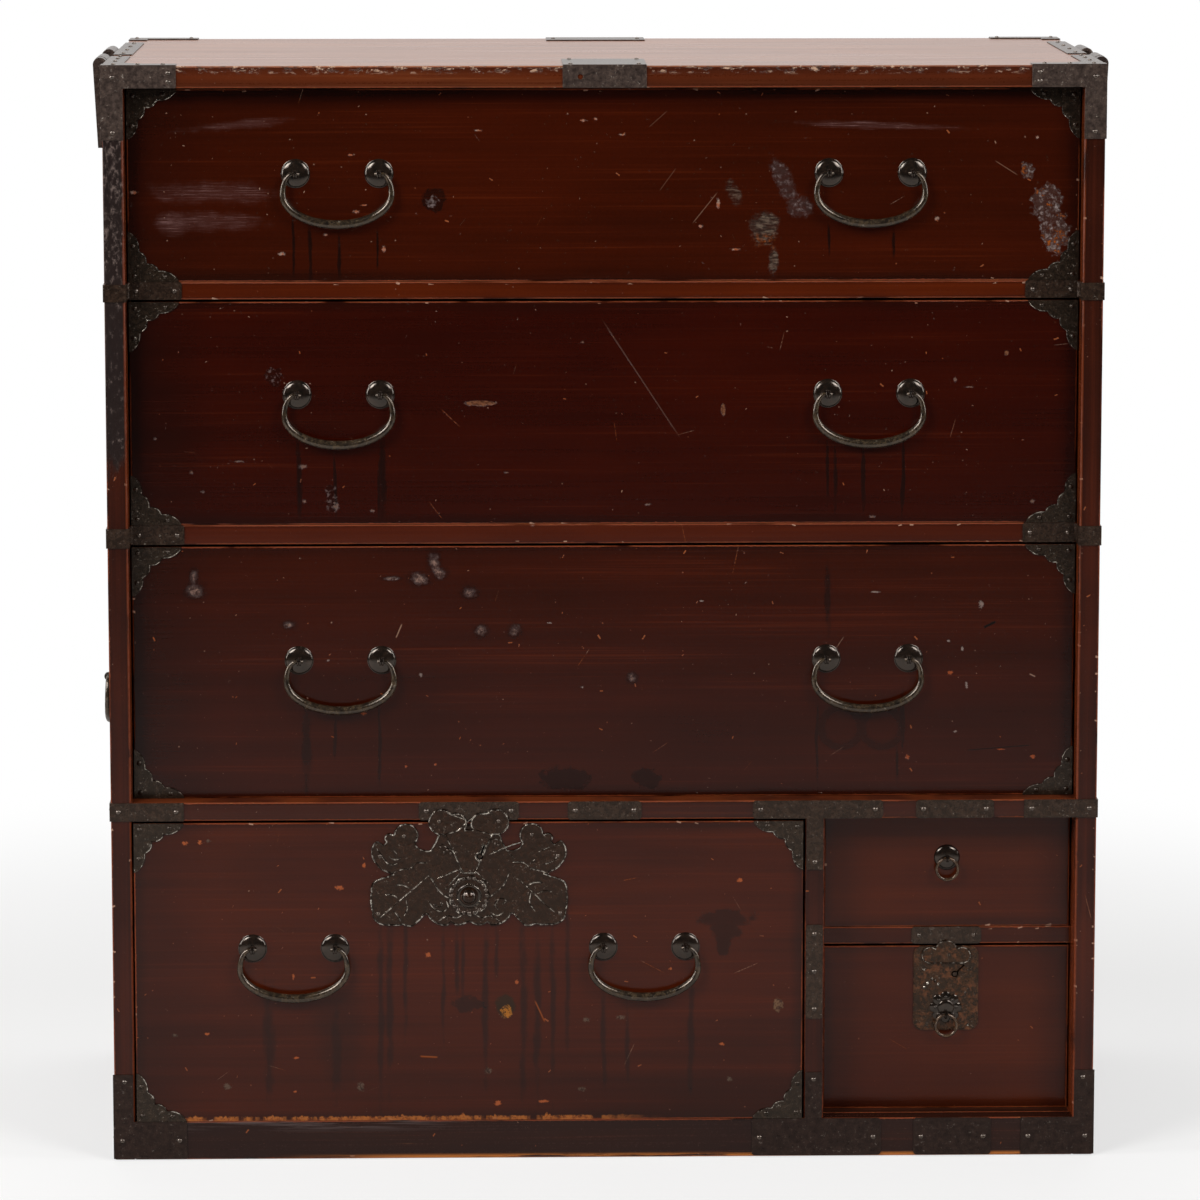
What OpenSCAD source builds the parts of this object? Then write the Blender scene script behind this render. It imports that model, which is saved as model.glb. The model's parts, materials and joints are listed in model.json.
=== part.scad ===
// Iron-bound clothing chest. Three full-width drawers stand over one wide drawer and an open
// compartment with two small drawers, in a lacquered wood case with folding carrying loops.
// The front faces -Y and +Z is up. The origin lies under the middle of the whole chest.

/* [Case] */
// Width of the case over its sides
case_w = 909; // [800:1:1100]
// Depth of the case from its front edges to the back of its back boards
case_d = 430; // [390:1:560]
// Thickness of the sides
side_t = 19; // [16:0.5:24]
// Thickness of the top board
top_t = 20; // [17:0.5:26]
// Thickness of the back boards
back_t = 10; // [7:0.5:16]
// Number of back boards
back_boards_n = 3; // [2:1:5]
// Height of the rail under the lowest drawers
base_h = 36; // [28:1:60]
// Thickness of the base rail, front to back
base_t = 20; // [14:1:30]
// Thickness of the board that carries the lowest drawers
floor_t = 10; // [7:0.5:16]
// Width of the strips that carry the edges of the drawers
runner_w = 14; // [10:1:24]
// Bevel on the front inner edges of the sides and the divider
edge_bevel = 1.5; // [0.5:0.1:3]

/* [Openings in the front] */
// Height of the opening for drawer 1, the highest
open_1 = 178; // [150:1:260]
// Height of the opening for drawer 2
open_2 = 208; // [150:1:300]
// Height of the opening for drawer 3
open_3 = 237; // [150:1:320]
// Height of the opening for drawer 4, the wide lower one
open_4 = 284; // [260:1:360]
// Width of the opening for drawer 4
open_4_w = 620.5; // [540:0.5:660]
// Height of the opening for the small lower drawer
open_6 = 157.5; // [140:0.5:180]
// Height of the rail between drawers 1 and 2
upper_rail_h = 16; // [12:0.5:26]
// Height of the rail between drawers 2 and 3
middle_rail_h = 18; // [12:0.5:26]
// Height of the rail between drawers 3 and 4
lower_rail_h = 17; // [14:0.5:28]
// Height of the rail between the small drawers
small_rail_h = 16; // [13:0.5:24]
// Thickness of the divider beside drawer 4
divider_t = 18.5; // [14:0.5:26]
// Depth of the upper and middle rails, front to back
rail_d = 60; // [40:1:90]
// Distance of drawers 1 to 3 behind the front edges
upper_recess = 22; // [16:0.5:30]
// Distance of the small drawers behind the front edges
small_recess = 36; // [24:0.5:48]

/* [Drawers] */
// Thickness of the drawer fronts
front_t = 19; // [14:0.5:24]
// Thickness of the drawer walls
wall_t = 11; // [8:0.5:15]
// Thickness of the drawer bottoms
bottom_t = 8; // [5:0.5:12]
// Distance of the drawer walls under the top of the front
wall_drop = 4; // [1:0.5:20]
// Gap above each drawer front
top_gap = 2.2; // [1:0.1:4]
// Gap beside each drawer front
side_gap = 1.6; // [0.6:0.1:3]
// Gap between a drawer and what carries it
drop_gap = 0.3; // [0.2:0.05:0.6]
// Gap between a drawer and the back boards
back_gap = 2; // [1:0.5:8]
// Width of the glue lines between the boards of one drawer
glue_gap = 0.1; // [0.05:0.01:0.3]

/* [Bails] */
// Distance between the two posts of a bail
post_spacing = 76; // [64:1:90]
// Width of a bail over its bends, at the middle of the wire
bail_w = 99; // [92:1:120]
// Distance from the pivot down to the widest place
bail_shoulder = 18; // [12:1:24]
// Distance from the pivot down to the lowest place of the wire
bail_drop = 46; // [36:1:56]
// Radius of the wire at the middle of the bail
bail_r = 4.2; // [3:0.1:5]
// Radius of the wire at the ends of the bail
bail_end_r = 2; // [1.9:0.05:2.4]
// Distance of the bail's pivot in front of a drawer
bail_out = 8; // [7.4:0.1:12]
// Distance of a side bail's pivot from the side of the case
side_bail_out = 12.5; // [9:0.5:18]
// Diameter of the domed rosette under each post
rosette_d = 26.5; // [20:0.5:32]
// Height of the domed rosette
rosette_h = 4; // [2:0.1:4.5]
// Outer radius of the eye on a post
eye_r = 3.9; // [3.2:0.1:4.6]
// Width of the eye on a post
eye_w = 4; // [3:0.1:5]
// Radius of the pin at each end of a bail
pin_r = 1.75; // [1.3:0.05:1.8]
// Running clearance of a pin in its eye
pin_clearance = 0.08; // [0.03:0.01:0.1]
// Distance of the bails of drawers 1 to 3 from the middle of the chest
bail_x = 243; // [150:1:300]
// Distance of the bails of drawer 4 from the middle of that drawer
bail_4_x = 162; // [150:1:220]
// Height of the bails above the bottom of opening 1
bail_1_z = 99; // [80:1:130]
// Height of the bails above the bottom of opening 2
bail_2_z = 120.5; // [80:0.5:140]
// Height of the bails above the bottom of opening 3
bail_3_z = 129; // [80:1:140]
// Height of the bails above the bottom of opening 4
bail_4_z = 164; // [80:1:180]
// Height of the side bails above the floor
side_bail_z = 425; // [200:1:600]

/* [Carrying loops] */
// Width of a carrying loop, front to back
loop_w = 188; // [150:1:230]
// Distance from the pivot down to the end of a carrying loop
loop_drop = 77; // [60:1:100]
// Width of the loop's bar
loop_bar = 14; // [10:0.5:18]
// Thickness of the loop at its pivot
loop_t = 13; // [10:0.5:15]
// Thickness of the loop at its lower end
loop_end_t = 9; // [7:0.5:13]
// Distance of the loop's pivot from the side of the case
loop_out = 9.5; // [9:0.1:12]
// Distance of the loop's pivot under the top of the case
loop_under = 6; // [4:0.5:20]
// Radius of the loop's pin
loop_pin_r = 3.5; // [2.5:0.1:4.5]
// Radius of the knuckle around the loop's pin
knuckle_r = 6.8; // [6:0.1:8]
// Length of each knuckle
knuckle_l = 45; // [30:1:60]
// Gap between a knuckle and the loop's arm
knuckle_gap = 0.5; // [0.3:0.1:1]
// Height of the plate that holds a knuckle
knuckle_plate_h = 52; // [40:1:70]

/* [Ironwork] */
// Thickness of the iron plates on the case
iron_t = 1.2; // [0.8:0.1:1.8]
// Thickness of the corner irons on the drawers
corner_t = 1; // [0.6:0.1:1.6]
// Length of the legs of the drawers' corner irons
corner_leg = 46; // [36:1:56]
// Length of the irons at the case's top and bottom corners
case_corner = 67; // [50:1:90]
// Width of the plates on the top's side edges
edge_plate_w = 18; // [14:1:22]
// Distance of the side edge plates behind the front
edge_plate_y = 161; // [145:1:200]
// Length of the plates on the top's side edges
edge_plate_l = 190; // [120:1:200]
// Width of the plate at the middle of the top's front edge
centre_plate_w = 76; // [60:1:100]
// Length of that plate's fold over the top
centre_plate_l = 84; // [50:1:120]
// Width of the strap at the middle of the top's back edge
back_strap_w = 96; // [60:1:120]
// Length of the plates at the ends of the recessed rails
rail_plate_l = 49; // [30:1:70]
// Width of the keeper plate at the middle of the lower rail
keeper_w = 68; // [50:1:90]
// Width of the plate behind the hasp, on the lower rail
hasp_plate_w = 92; // [84:1:110]
// Width of the brackets over and under the divider
bracket_w = 120; // [96:1:136]
// Part of a bracket's width to the left of the divider
bracket_left = 48; // [40:1:56]
// Length of the upper bracket's leg down the divider
bracket_leg = 48; // [30:1:60]
// Length of the lower bracket's leg up the divider
base_bracket_leg = 44; // [30:1:60]
// Width of the plates over and under the small compartment
bay_plate_w = 72; // [50:1:90]
// Distance of those plates to the right of the compartment's middle
bay_plate_off = 4; // [0:0.5:10]
// Height of the plate on the divider
divider_plate_h = 89; // [60:1:110]
// Distance of the divider plate's lower end above the base rail
divider_plate_up = 95; // [70:1:110]
// Width of the plate on the small rail
small_rail_plate_w = 64.8; // [50:0.2:76]
// Distance of the lowest irons above the floor
base_iron_lift = 1; // [0.5:0.1:3]
// Height of the base corner irons above the base rail
base_corner_leg = 45; // [30:1:60]
// Diameter of the hole in the plate at the middle of the top's front edge
centre_hole_d = 4.8; // [3:0.1:7]
// Distance of that hole to the left of the middle
centre_hole_x = 22; // [0:1:28]
// Distance of nails from the ends of their plates
nail_edge = 7; // [5:0.5:10]
// Radius of a nail's head
nail_r = 2.3; // [1.6:0.1:3]
// Height of a nail's head
nail_h = 1.3; // [0.8:0.1:1.6]

/* [Locks] */
// Height of the leaf plate over the pivots of drawer 4's bails
leaf_z = 20; // [16:0.5:40]
// Thickness of the lock plates
lock_plate_t = 1.5; // [1.5:0.1:2.4]
// Height of the round lobes of the hasp over drawer 4
hasp_lobe_d = 24; // [18:0.5:28]
// Distance of the middle of the hasp's lobes under the lower rail's underside
hasp_under = 1.5; // [0:0.5:4]
// Diameter of the knob on the leaf plate
knob_d = 13; // [10:0.5:16]
// Diameter of the scalloped rosette under the knob
knob_rosette_d = 38; // [30:1:44]
// Height of the knob's middle above the lower edge of the leaf plate
knob_up = 29; // [24:1:34]
// Width of a lock bolt
bolt_w = 22; // [16:0.5:30]
// Thickness of a lock bolt
bolt_t = 7; // [5:0.5:9]
// Height of a lock bolt
bolt_h = 28; // [20:1:34]
// Travel of a lock bolt
bolt_travel = 8; // [5:0.5:10]
// Clearance around a lock bolt
bolt_gap = 0.2; // [0.1:0.05:0.4]
// Width of a lock case
lock_case_w = 58; // [50:1:70]
// Height of a lock case
lock_case_h = 42; // [40:1:56]
// Thickness of a lock case
lock_case_t = 13; // [12:0.5:16]
// Radius of a keyhole
keyhole_r = 3.2; // [2.6:0.1:4]
// Radius of the pin in a keyhole
keyhole_pin_r = 2; // [1:0.1:2.2]
// Width of the slot beside a keyhole
keyhole_slot_w = 1.4; // [1:0.1:2.4]
// Length of the slot beside a keyhole, from the middle of the hole
keyhole_slot_l = 12; // [8:0.5:15]
// Width of the lock plate on the small lower drawer
small_plate_w = 60.6; // [50:0.2:74]
// Height of the lock plate on the small lower drawer
small_plate_h = 80; // [66:1:90]
// Radius of the tongue on top of that plate
tongue_r = 10.5; // [8:0.5:12]
// Distance of the rounded shoulders from the tongue's middle
shoulder_x = 15; // [12:0.5:18]

/* [Ring pulls] */
// Radius of a ring pull at the middle of its wire
ring_r = 10; // [8:0.5:14]
// Radius of the ring's wire
ring_wire_r = 1.5; // [1.2:0.1:1.6]
// Distance of a ring's pivot in front of its drawer
ring_out = 7; // [6.5:0.1:9]
// Outer radius of the eye that holds a ring
ring_eye_r = 3.4; // [3.2:0.1:4]
// Width of the eye that holds a ring
ring_eye_w = 2.6; // [2:0.1:3]
// Bore radius of the eye that holds a ring
ring_bore_r = 1.9; // [1.85:0.05:2.2]
// Diameter of the round plate under the upper ring
ring_plate_d = 24; // [18:0.5:30]
// Diameter of the flower plate under the lower ring
flower_d = 30; // [24:0.5:36]
// Height of the upper ring's pivot above the bottom of its drawer opening
ring_5_z = 66; // [50:0.5:80]
// Height of the lower ring's pivot above the bottom of its drawer opening
ring_6_z = 91; // [84:0.5:100]
// Height of the flower's middle above that pivot
flower_up = 6; // [4:0.5:9]

/* [Hidden] */

$fn = 48;
slack = 1; // how far a cut runs past the face that it opens
flower_t = 1.2; // thickness of the scalloped plates under the knob and the rings

// Heights of the case, from the floor up
rail_3_z = base_h + open_4;
open_3_z = rail_3_z + lower_rail_h;
rail_2_z = open_3_z + open_3;
open_2_z = rail_2_z + middle_rail_h;
rail_1_z = open_2_z + open_2;
open_1_z = rail_1_z + upper_rail_h;
top_z = open_1_z + open_1;
case_h = top_z + top_t;
small_rail_z = base_h + open_6;
open_5_z = small_rail_z + small_rail_h;

// Places across the case and from front to back
half_w = case_w / 2;
inner_x = half_w - side_t;
divider_x = -inner_x + open_4_w;
small_x = divider_x + divider_t;
bail_reach = bail_out + max(bail_r, eye_r);
front_y = (bail_reach - case_d - iron_t) / 2;
back_y = front_y + case_d;
back_inner_y = back_y - back_t;
rail_back_y = front_y + upper_recess + rail_d;

// The six openings, from drawer 1 to drawer 6
x_lo = [-inner_x, -inner_x, -inner_x, -inner_x, small_x, small_x];
x_hi = [inner_x, inner_x, inner_x, divider_x, inner_x, inner_x];
z_lo = [open_1_z, open_2_z, open_3_z, base_h, open_5_z, base_h];
z_hi = [top_z, rail_1_z, rail_2_z, rail_3_z, rail_3_z, small_rail_z];
recess = [upper_recess, upper_recess, upper_recess, 0, small_recess, small_recess];
bail_z = [bail_1_z, bail_2_z, bail_3_z, bail_4_z];

function mid_x(i) = (x_lo[i] + x_hi[i]) / 2;
function face_y(i) = front_y + recess[i];
function wood_w(i) = x_hi[i] - x_lo[i] - 2 * side_gap;
function wood_h(i) = z_hi[i] - z_lo[i] - drop_gap - top_gap;
function wood_z(i) = z_lo[i] + drop_gap;
function pivot_z(i) = z_lo[i] + bail_z[i];
function bail_off(i) = i == 3 ? bail_4_x : bail_x;

wood = [0.28, 0.1, 0.06];
plain_wood = [0.55, 0.4, 0.26];
iron = [0.13, 0.12, 0.12];
rusty_iron = [0.24, 0.15, 0.11];

// General shapes

// A board given by its low corner and its size
module board(x, y, z, w, d, h) {
  translate([x, y, z]) cube([w, d, h]);
}

// Stands children, drawn in X and Z with their height forward, on a plane that faces the front
module on_front(x, y, z) {
  translate([x, y, z]) rotate([90, 0, 0]) children();
}

// Stands children, drawn in Y and Z with their height outward, on the right side of the case
module on_side(y, z) {
  translate([half_w, y, z]) rotate([90, 0, 90]) children();
}

module mirrored_too() {
  children();
  mirror([1, 0, 0]) children();
}

// A round cap of a sphere on the plane below it
module dome(r, h) {
  ball_r = (r * r + h * h) / (2 * h);
  intersection() {
    translate([0, 0, h - ball_r]) sphere(ball_r);
    cylinder(r = r, h = h);
  }
}

module nail() {
  dome(nail_r, nail_h);
}

// A flat plate from its low corner, with round corners
module plate(x, z, w, h, t, corner_r = 3) {
  r = min(corner_r, h / 2, w / 2);
  translate([x, z, 0]) linear_extrude(t) {
    translate([r, 0]) square([w - 2 * r, h]);
    translate([0, r]) square([w, h - 2 * r]);
    for (u = [r, w - r]) for (v = [r, h - r]) translate([u, v]) circle(r);
  }
}

// Points from one place towards the next along an arch that stands out by its third number
function arch(from, to, steps) =
  let (way = [to[0] - from[0], to[1] - from[1]],
       side = [way[1], -way[0]] / norm(way))
  [for (k = [0:steps - 1]) let (t = k / steps)
    [from[0], from[1]] + way * t + side * from[2] * 4 * t * (1 - t)];

// An outline through places [x, z, bulge], where the bulge stands out of the line to the next
function outline(places, steps = 5) =
  [for (k = [0:len(places) - 1])
    each (places[k][2] == 0
      ? [[places[k][0], places[k][1]]]
      : arch(places[k], places[(k + 1) % len(places)], steps))];

// A round tube along a flat path, with a radius for each place
module tube(path, radii, sides, start_way, end_way) {
  last = len(path) - 1;
  ways = [for (k = [0:last])
    k == 0 ? start_way : k == last ? end_way : (path[k + 1] - path[k - 1]) / norm(path[k + 1] - path[k - 1])];
  points = [for (k = [0:last]) for (s = [0:sides - 1])
    let (a = 360 * s / sides, out = radii[k] * cos(a))
    [path[k][0] - ways[k][1] * out, path[k][1] + ways[k][0] * out, radii[k] * sin(a)]];
  walls = [for (k = [0:last - 1]) for (s = [0:sides - 1])
    let (n = (s + 1) % sides, low = k * sides, high = low + sides)
    each [[low + s, high + n, low + n], [low + s, high + s, high + n]]];
  start_cap = [for (s = [1:sides - 2]) [0, s, s + 1]];
  end_cap = [for (s = [1:sides - 2]) [last * sides, last * sides + s + 1, last * sides + s]];
  polyhedron(points = points, faces = concat(start_cap, walls, end_cap));
}

// Bails, their posts and rings, drawn with the wall behind them at height 0

// Where the wire starts beside its eye, measured from the middle of the bail
wire_start = post_spacing / 2 + eye_w / 2 + 0.3;
bail_sides = 12;

function bail_path(steps_down = 5, steps_across = 14) =
  let (half = bail_w / 2, bend = half - wire_start, low = bail_drop - bail_shoulder)
  concat(
    [for (k = [0:steps_down - 1]) let (a = 90 - 90 * k / steps_down)
      [wire_start + bend * cos(a), -bail_shoulder * (1 - sin(a))]],
    [for (k = [0:steps_across]) let (a = 180 * k / steps_across)
      [half * cos(a), -bail_shoulder - low * sin(a)]],
    [for (k = [1:steps_down]) let (a = 90 * k / steps_down)
      [-wire_start - bend * cos(a), -bail_shoulder * (1 - sin(a))]]);

// The bail hangs in the plane of its pivot, and its pins point to the middle
module bail() {
  path = bail_path();
  last = len(path) - 1;
  radii = [for (k = [0:last])
    bail_end_r + (bail_r - bail_end_r) * pow(sin(180 * k / last), 1.5)];
  tube(path, radii, bail_sides, [1, 0], [1, 0]);
  pin_start = post_spacing / 2 - eye_w / 2 - 1.5;
  for (x = [pin_start, -wire_start - 1])
    translate([x, 0, 0]) rotate([0, 90, 0]) cylinder(r = pin_r, h = wire_start + 1 - pin_start);
}

// A domed rosette with a neck and an eye, whose bore lies across
module eye_post(out, eye_radius, eye_width, bore_r) {
  difference() {
    union() {
      dome(rosette_d / 2, rosette_h);
      cylinder(r = eye_width / 2, h = out);
      translate([-eye_width / 2, 0, out]) rotate([0, 90, 0]) cylinder(r = eye_radius, h = eye_width);
    }
    translate([-eye_width, 0, out]) rotate([0, 90, 0]) cylinder(r = bore_r, h = 2 * eye_width);
  }
}

module bail_posts_pair(out) {
  for (x = [-post_spacing / 2, post_spacing / 2])
    translate([x, 0, 0]) eye_post(out, eye_r, eye_w, pin_r + pin_clearance);
}

// A ring that hangs from its pivot
module ring() {
  translate([0, -ring_r, 0]) rotate_extrude() translate([ring_r, 0]) circle(ring_wire_r);
}

// The eye that a ring hangs in, on a plate of its own
module ring_eye() {
  difference() {
    union() {
      cylinder(r = ring_eye_w * 0.6, h = ring_out);
      translate([-ring_eye_w / 2, 0, ring_out]) rotate([0, 90, 0]) cylinder(r = ring_eye_r, h = ring_eye_w);
    }
    translate([-ring_eye_w, 0, ring_out]) rotate([0, 90, 0]) cylinder(r = ring_bore_r, h = 2 * ring_eye_w);
  }
}

// A flower plate: petals round a middle
module flower(d, petals, t) {
  petal_r = d * 0.18;
  linear_extrude(t) {
    circle(d / 2 - petal_r * 0.8);
    for (k = [0:petals - 1])
      rotate(360 * k / petals) translate([d / 2 - petal_r, 0]) circle(petal_r);
  }
}

// The case

module top_board() {
  color(wood) board(-half_w, front_y, top_z, case_w, case_d, top_t);
}

// The plan of a side, from its inner face out to the left
module side_board() {
  translate([-inner_x, front_y, 0]) linear_extrude(top_z)
    polygon([[0, edge_bevel], [-edge_bevel, 0], [-side_t, 0], [-side_t, case_d], [0, case_d]]);
}

module left_side() {
  color(wood) side_board();
}

module right_side() {
  color(wood) mirror([1, 0, 0]) side_board();
}

module base_rail() {
  color(wood) board(-inner_x, front_y, 0, 2 * inner_x, base_t, base_h);
}

module floor_board() {
  start_y = front_y + base_t;
  color(plain_wood) board(-inner_x, start_y, base_h - floor_t, 2 * inner_x, back_inner_y - start_y, floor_t);
}

module back_boards() {
  board_h = top_z / back_boards_n;
  color(plain_wood) for (k = [0:back_boards_n - 1])
    board(-inner_x, back_inner_y, k * board_h, 2 * inner_x, back_t, board_h - glue_gap);
}

module upper_rail() {
  color(wood) board(-inner_x, front_y + upper_recess, rail_1_z, 2 * inner_x, rail_d, upper_rail_h);
}

module middle_rail() {
  color(wood) board(-inner_x, front_y + upper_recess, rail_2_z, 2 * inner_x, rail_d, middle_rail_h);
}

// The pocket that a drawer's lock bolt rises into, from under the rail above that drawer
module bolt_pocket(i) {
  board(mid_x(i) - bolt_w / 2 - bolt_gap, bolt_y(i) - bolt_gap, z_hi[i] - slack,
        bolt_w + 2 * bolt_gap, bolt_t + 2 * bolt_gap, slack + bolt_travel);
}

module lower_rail() {
  color(wood) difference() {
    board(-inner_x, front_y, rail_3_z, 2 * inner_x, rail_back_y - front_y, lower_rail_h);
    bolt_pocket(3);
  }
}

module divider_board() {
  depth = back_inner_y - front_y;
  color(wood) translate([divider_x, front_y, base_h]) linear_extrude(open_4)
    polygon([[0, edge_bevel], [edge_bevel, 0], [divider_t - edge_bevel, 0], [divider_t, edge_bevel],
             [divider_t, depth], [0, depth]]);
}

module small_rail() {
  start_y = front_y + small_recess;
  color(wood) difference() {
    board(small_x, start_y, small_rail_z, inner_x - small_x, rail_back_y - start_y, small_rail_h);
    bolt_pocket(5);
  }
}

// Strips on both sides of an opening, level with the rail in front of them
module runner_pair(i, rail_h) {
  for (x = [x_lo[i], x_hi[i] - runner_w])
    board(x, rail_back_y, z_lo[i] - rail_h, runner_w, back_inner_y - rail_back_y, rail_h);
}

module drawer_runners() {
  color(plain_wood) {
    runner_pair(0, upper_rail_h);
    runner_pair(1, middle_rail_h);
    runner_pair(2, lower_rail_h);
    runner_pair(4, small_rail_h);
  }
}

// Irons of the case

// An iron that folds over a top corner: on the front, on the side and on the top
module top_corner_iron() {
  translate([-half_w, front_y, 0]) {
    on_front(0, 0, 0) linear_extrude(iron_t)
      polygon([[0, case_h], [case_corner, case_h], [case_corner, top_z], [side_t, top_z],
               [side_t, case_h - case_corner], [0, case_h - case_corner]]);
    translate([0, 0, case_h]) linear_extrude(iron_t)
      polygon([[0, -iron_t], [case_corner, -iron_t], [case_corner, edge_plate_w],
               [edge_plate_w * 2, edge_plate_w], [edge_plate_w, edge_plate_w * 2],
               [edge_plate_w, case_corner * 2], [0, case_corner * 2]]);
    translate([-iron_t, -iron_t, case_h - case_corner])
      cube([iron_t, edge_plate_w + iron_t, case_corner + iron_t]);
    translate([-iron_t, -iron_t, case_h - case_corner])
      cube([iron_t + slack, iron_t, case_corner + iron_t]);
  }
}

// An iron that folds over a back top corner
module back_corner_iron() {
  translate([-half_w, back_y, case_h]) {
    linear_extrude(iron_t)
      polygon([[0, iron_t], [case_corner, iron_t], [case_corner, -edge_plate_w],
               [edge_plate_w, -edge_plate_w], [edge_plate_w, -case_corner / 2], [0, -case_corner / 2]]);
    board(0, 0, -edge_plate_w, case_corner, iron_t, edge_plate_w);
  }
}

// A plate across the middle of the front or back edge, folded over the top
module folded_plate(w, y, fold_l, face_h) {
  back = y > 0;
  board(-w / 2, back ? y : y - iron_t, case_h - face_h, w, iron_t, face_h + iron_t);
  board(-w / 2, back ? y - fold_l : y, case_h, w, fold_l, iron_t);
}

module top_irons() {
  color(iron) {
    mirrored_too() {
      top_corner_iron();
      back_corner_iron();
      board(-half_w, front_y + edge_plate_y, case_h, edge_plate_w, edge_plate_l, iron_t);
    }
    difference() {
      folded_plate(centre_plate_w, front_y, centre_plate_l, top_t);
      on_front(-centre_hole_x, front_y + slack, case_h - top_t / 2)
        cylinder(d = centre_hole_d, h = iron_t + 2 * slack);
    }
    folded_plate(back_strap_w, back_y, centre_plate_l / 2, top_t);
  }
}

// A plate on the end of a recessed rail, and a clasp round the front of the side beside it
module recessed_rail_irons(z, h) {
  on_front(-inner_x + iron_t, front_y + upper_recess, z) plate(0, 0, rail_plate_l, h, iron_t, 2);
  translate([-half_w, front_y, z]) {
    board(-iron_t, -iron_t, 0, side_t + 2 * iron_t, iron_t, h);
    board(-iron_t, 0, 0, iron_t, upper_recess, h);
    board(side_t, 0, 0, iron_t, upper_recess - iron_t, h);
  }
}

// Plates on the fronts of the lower rail and the base rail, each by its place and width
bay_x = mid_x(5) + bay_plate_off;
bracket_plate = [divider_x - bracket_left, bracket_w];
bay_plate = [bay_x - bay_plate_w / 2, bay_plate_w];
lower_rail_plates = [[-keeper_w / 2, keeper_w], [mid_x(3) - hasp_plate_w / 2, hasp_plate_w],
                     bracket_plate, bay_plate];
base_plates = [bracket_plate, bay_plate];
post_w = divider_t - 2 * edge_bevel;

module lower_rail_irons() {
  mirrored_too() translate([-half_w, front_y, rail_3_z]) {
    board(-iron_t, -iron_t, 0, case_corner + iron_t, iron_t, lower_rail_h);
    board(-iron_t, 0, 0, iron_t, case_corner, lower_rail_h);
  }
  on_front(0, front_y, rail_3_z) {
    for (p = lower_rail_plates) plate(p[0], 0, p[1], lower_rail_h, iron_t);
    plate(divider_x + edge_bevel, -bracket_leg, post_w, bracket_leg + slack, iron_t, 1);
  }
}

module rail_irons() {
  color(iron) {
    mirrored_too() {
      recessed_rail_irons(rail_1_z, upper_rail_h);
      recessed_rail_irons(rail_2_z, middle_rail_h);
    }
    lower_rail_irons();
  }
  color(rusty_iron) {
    on_front(divider_x + edge_bevel, front_y, base_h)
      plate(0, divider_plate_up, post_w, divider_plate_h, iron_t, 2);
    on_front(mid_x(5), front_y + small_recess, small_rail_z)
      plate(-small_rail_plate_w / 2, 0, small_rail_plate_w, small_rail_h, iron_t);
  }
}

// An iron that folds over a bottom corner: on the front and on the side
module base_corner_iron() {
  stile_w = side_t - edge_bevel;
  leg_z = base_h + base_corner_leg;
  translate([-half_w, front_y, 0]) {
    on_front(0, 0, 0) linear_extrude(iron_t)
      polygon([[-iron_t, base_iron_lift], [case_corner, base_iron_lift], [case_corner, base_h],
               [stile_w, base_h], [stile_w, leg_z], [-iron_t, leg_z]]);
    board(-iron_t, 0, base_iron_lift, iron_t, case_corner, base_h - base_iron_lift);
  }
}

module base_irons() {
  color(iron) {
    mirrored_too() base_corner_iron();
    on_front(0, front_y, 0) {
      for (p = base_plates) plate(p[0], base_iron_lift, p[1], base_h - base_iron_lift, iron_t);
      plate(divider_x + edge_bevel, base_h - slack, post_w, base_bracket_leg + slack, iron_t, 1);
    }
  }
}

// Nails, by the plates that they hold

module nails_on_front(y, places) {
  for (p = places) on_front(p[0], y - iron_t, p[1]) nail();
}

module nails_on_top(places) {
  for (p = places) translate([p[0], p[1], case_h + iron_t]) nail();
}

module nails_on_left(places) {
  mirror([1, 0, 0]) for (p = places) on_side(p[0], p[1]) translate([0, 0, iron_t]) nail();
}

// Places near both ends of a plate, from its place and width
function end_places(p) = [p[0] + nail_edge, p[0] + p[1] - nail_edge];

// Nails of the corner irons and clasps at the left, which have their like at the right
module side_nails() {
  stile_x = -half_w + side_t / 2;
  corner = [-half_w, case_corner];
  clasp = [front_y + nail_edge, case_corner - 2 * nail_edge];
  rail_plate = [-inner_x + iron_t, rail_plate_l];
  low_z = base_h / 2;
  lower_z = rail_3_z + lower_rail_h / 2;
  nails_on_front(front_y, [
    for (z = [0.3, 0.7]) [-half_w + case_corner - nail_edge, case_h - top_t * z],
    for (z = [top_t / 2, case_corner - nail_edge]) [stile_x, case_h - z],
    for (x = end_places(corner)) each [[x, lower_z], [x, low_z]],
    [stile_x, base_h + base_corner_leg - nail_edge]]);
  nails_on_front(front_y + upper_recess, [
    for (x = end_places(rail_plate))
      each [[x, rail_1_z + upper_rail_h / 2], [x, rail_2_z + middle_rail_h / 2]]]);
  nails_on_top([
    for (x = [0.15, 0.48, 0.82]) [-half_w + case_corner * x, front_y + edge_plate_w / 2],
    for (y = [0.4, 0.7, 0.95]) [-half_w + edge_plate_w / 2, front_y + 2 * case_corner * y],
    for (y = [0.08, 0.36, 0.64, 0.92])
      [-half_w + edge_plate_w / 2, front_y + edge_plate_y + edge_plate_l * y],
    for (x = end_places(corner)) [x, back_y - edge_plate_w / 2]]);
  nails_on_left([
    for (z = [0.2, 0.85]) [front_y + edge_plate_w / 2, case_h - case_corner * z],
    for (y = end_places(clasp)) each [[y, lower_z], [y, low_z]]]);
}

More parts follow.
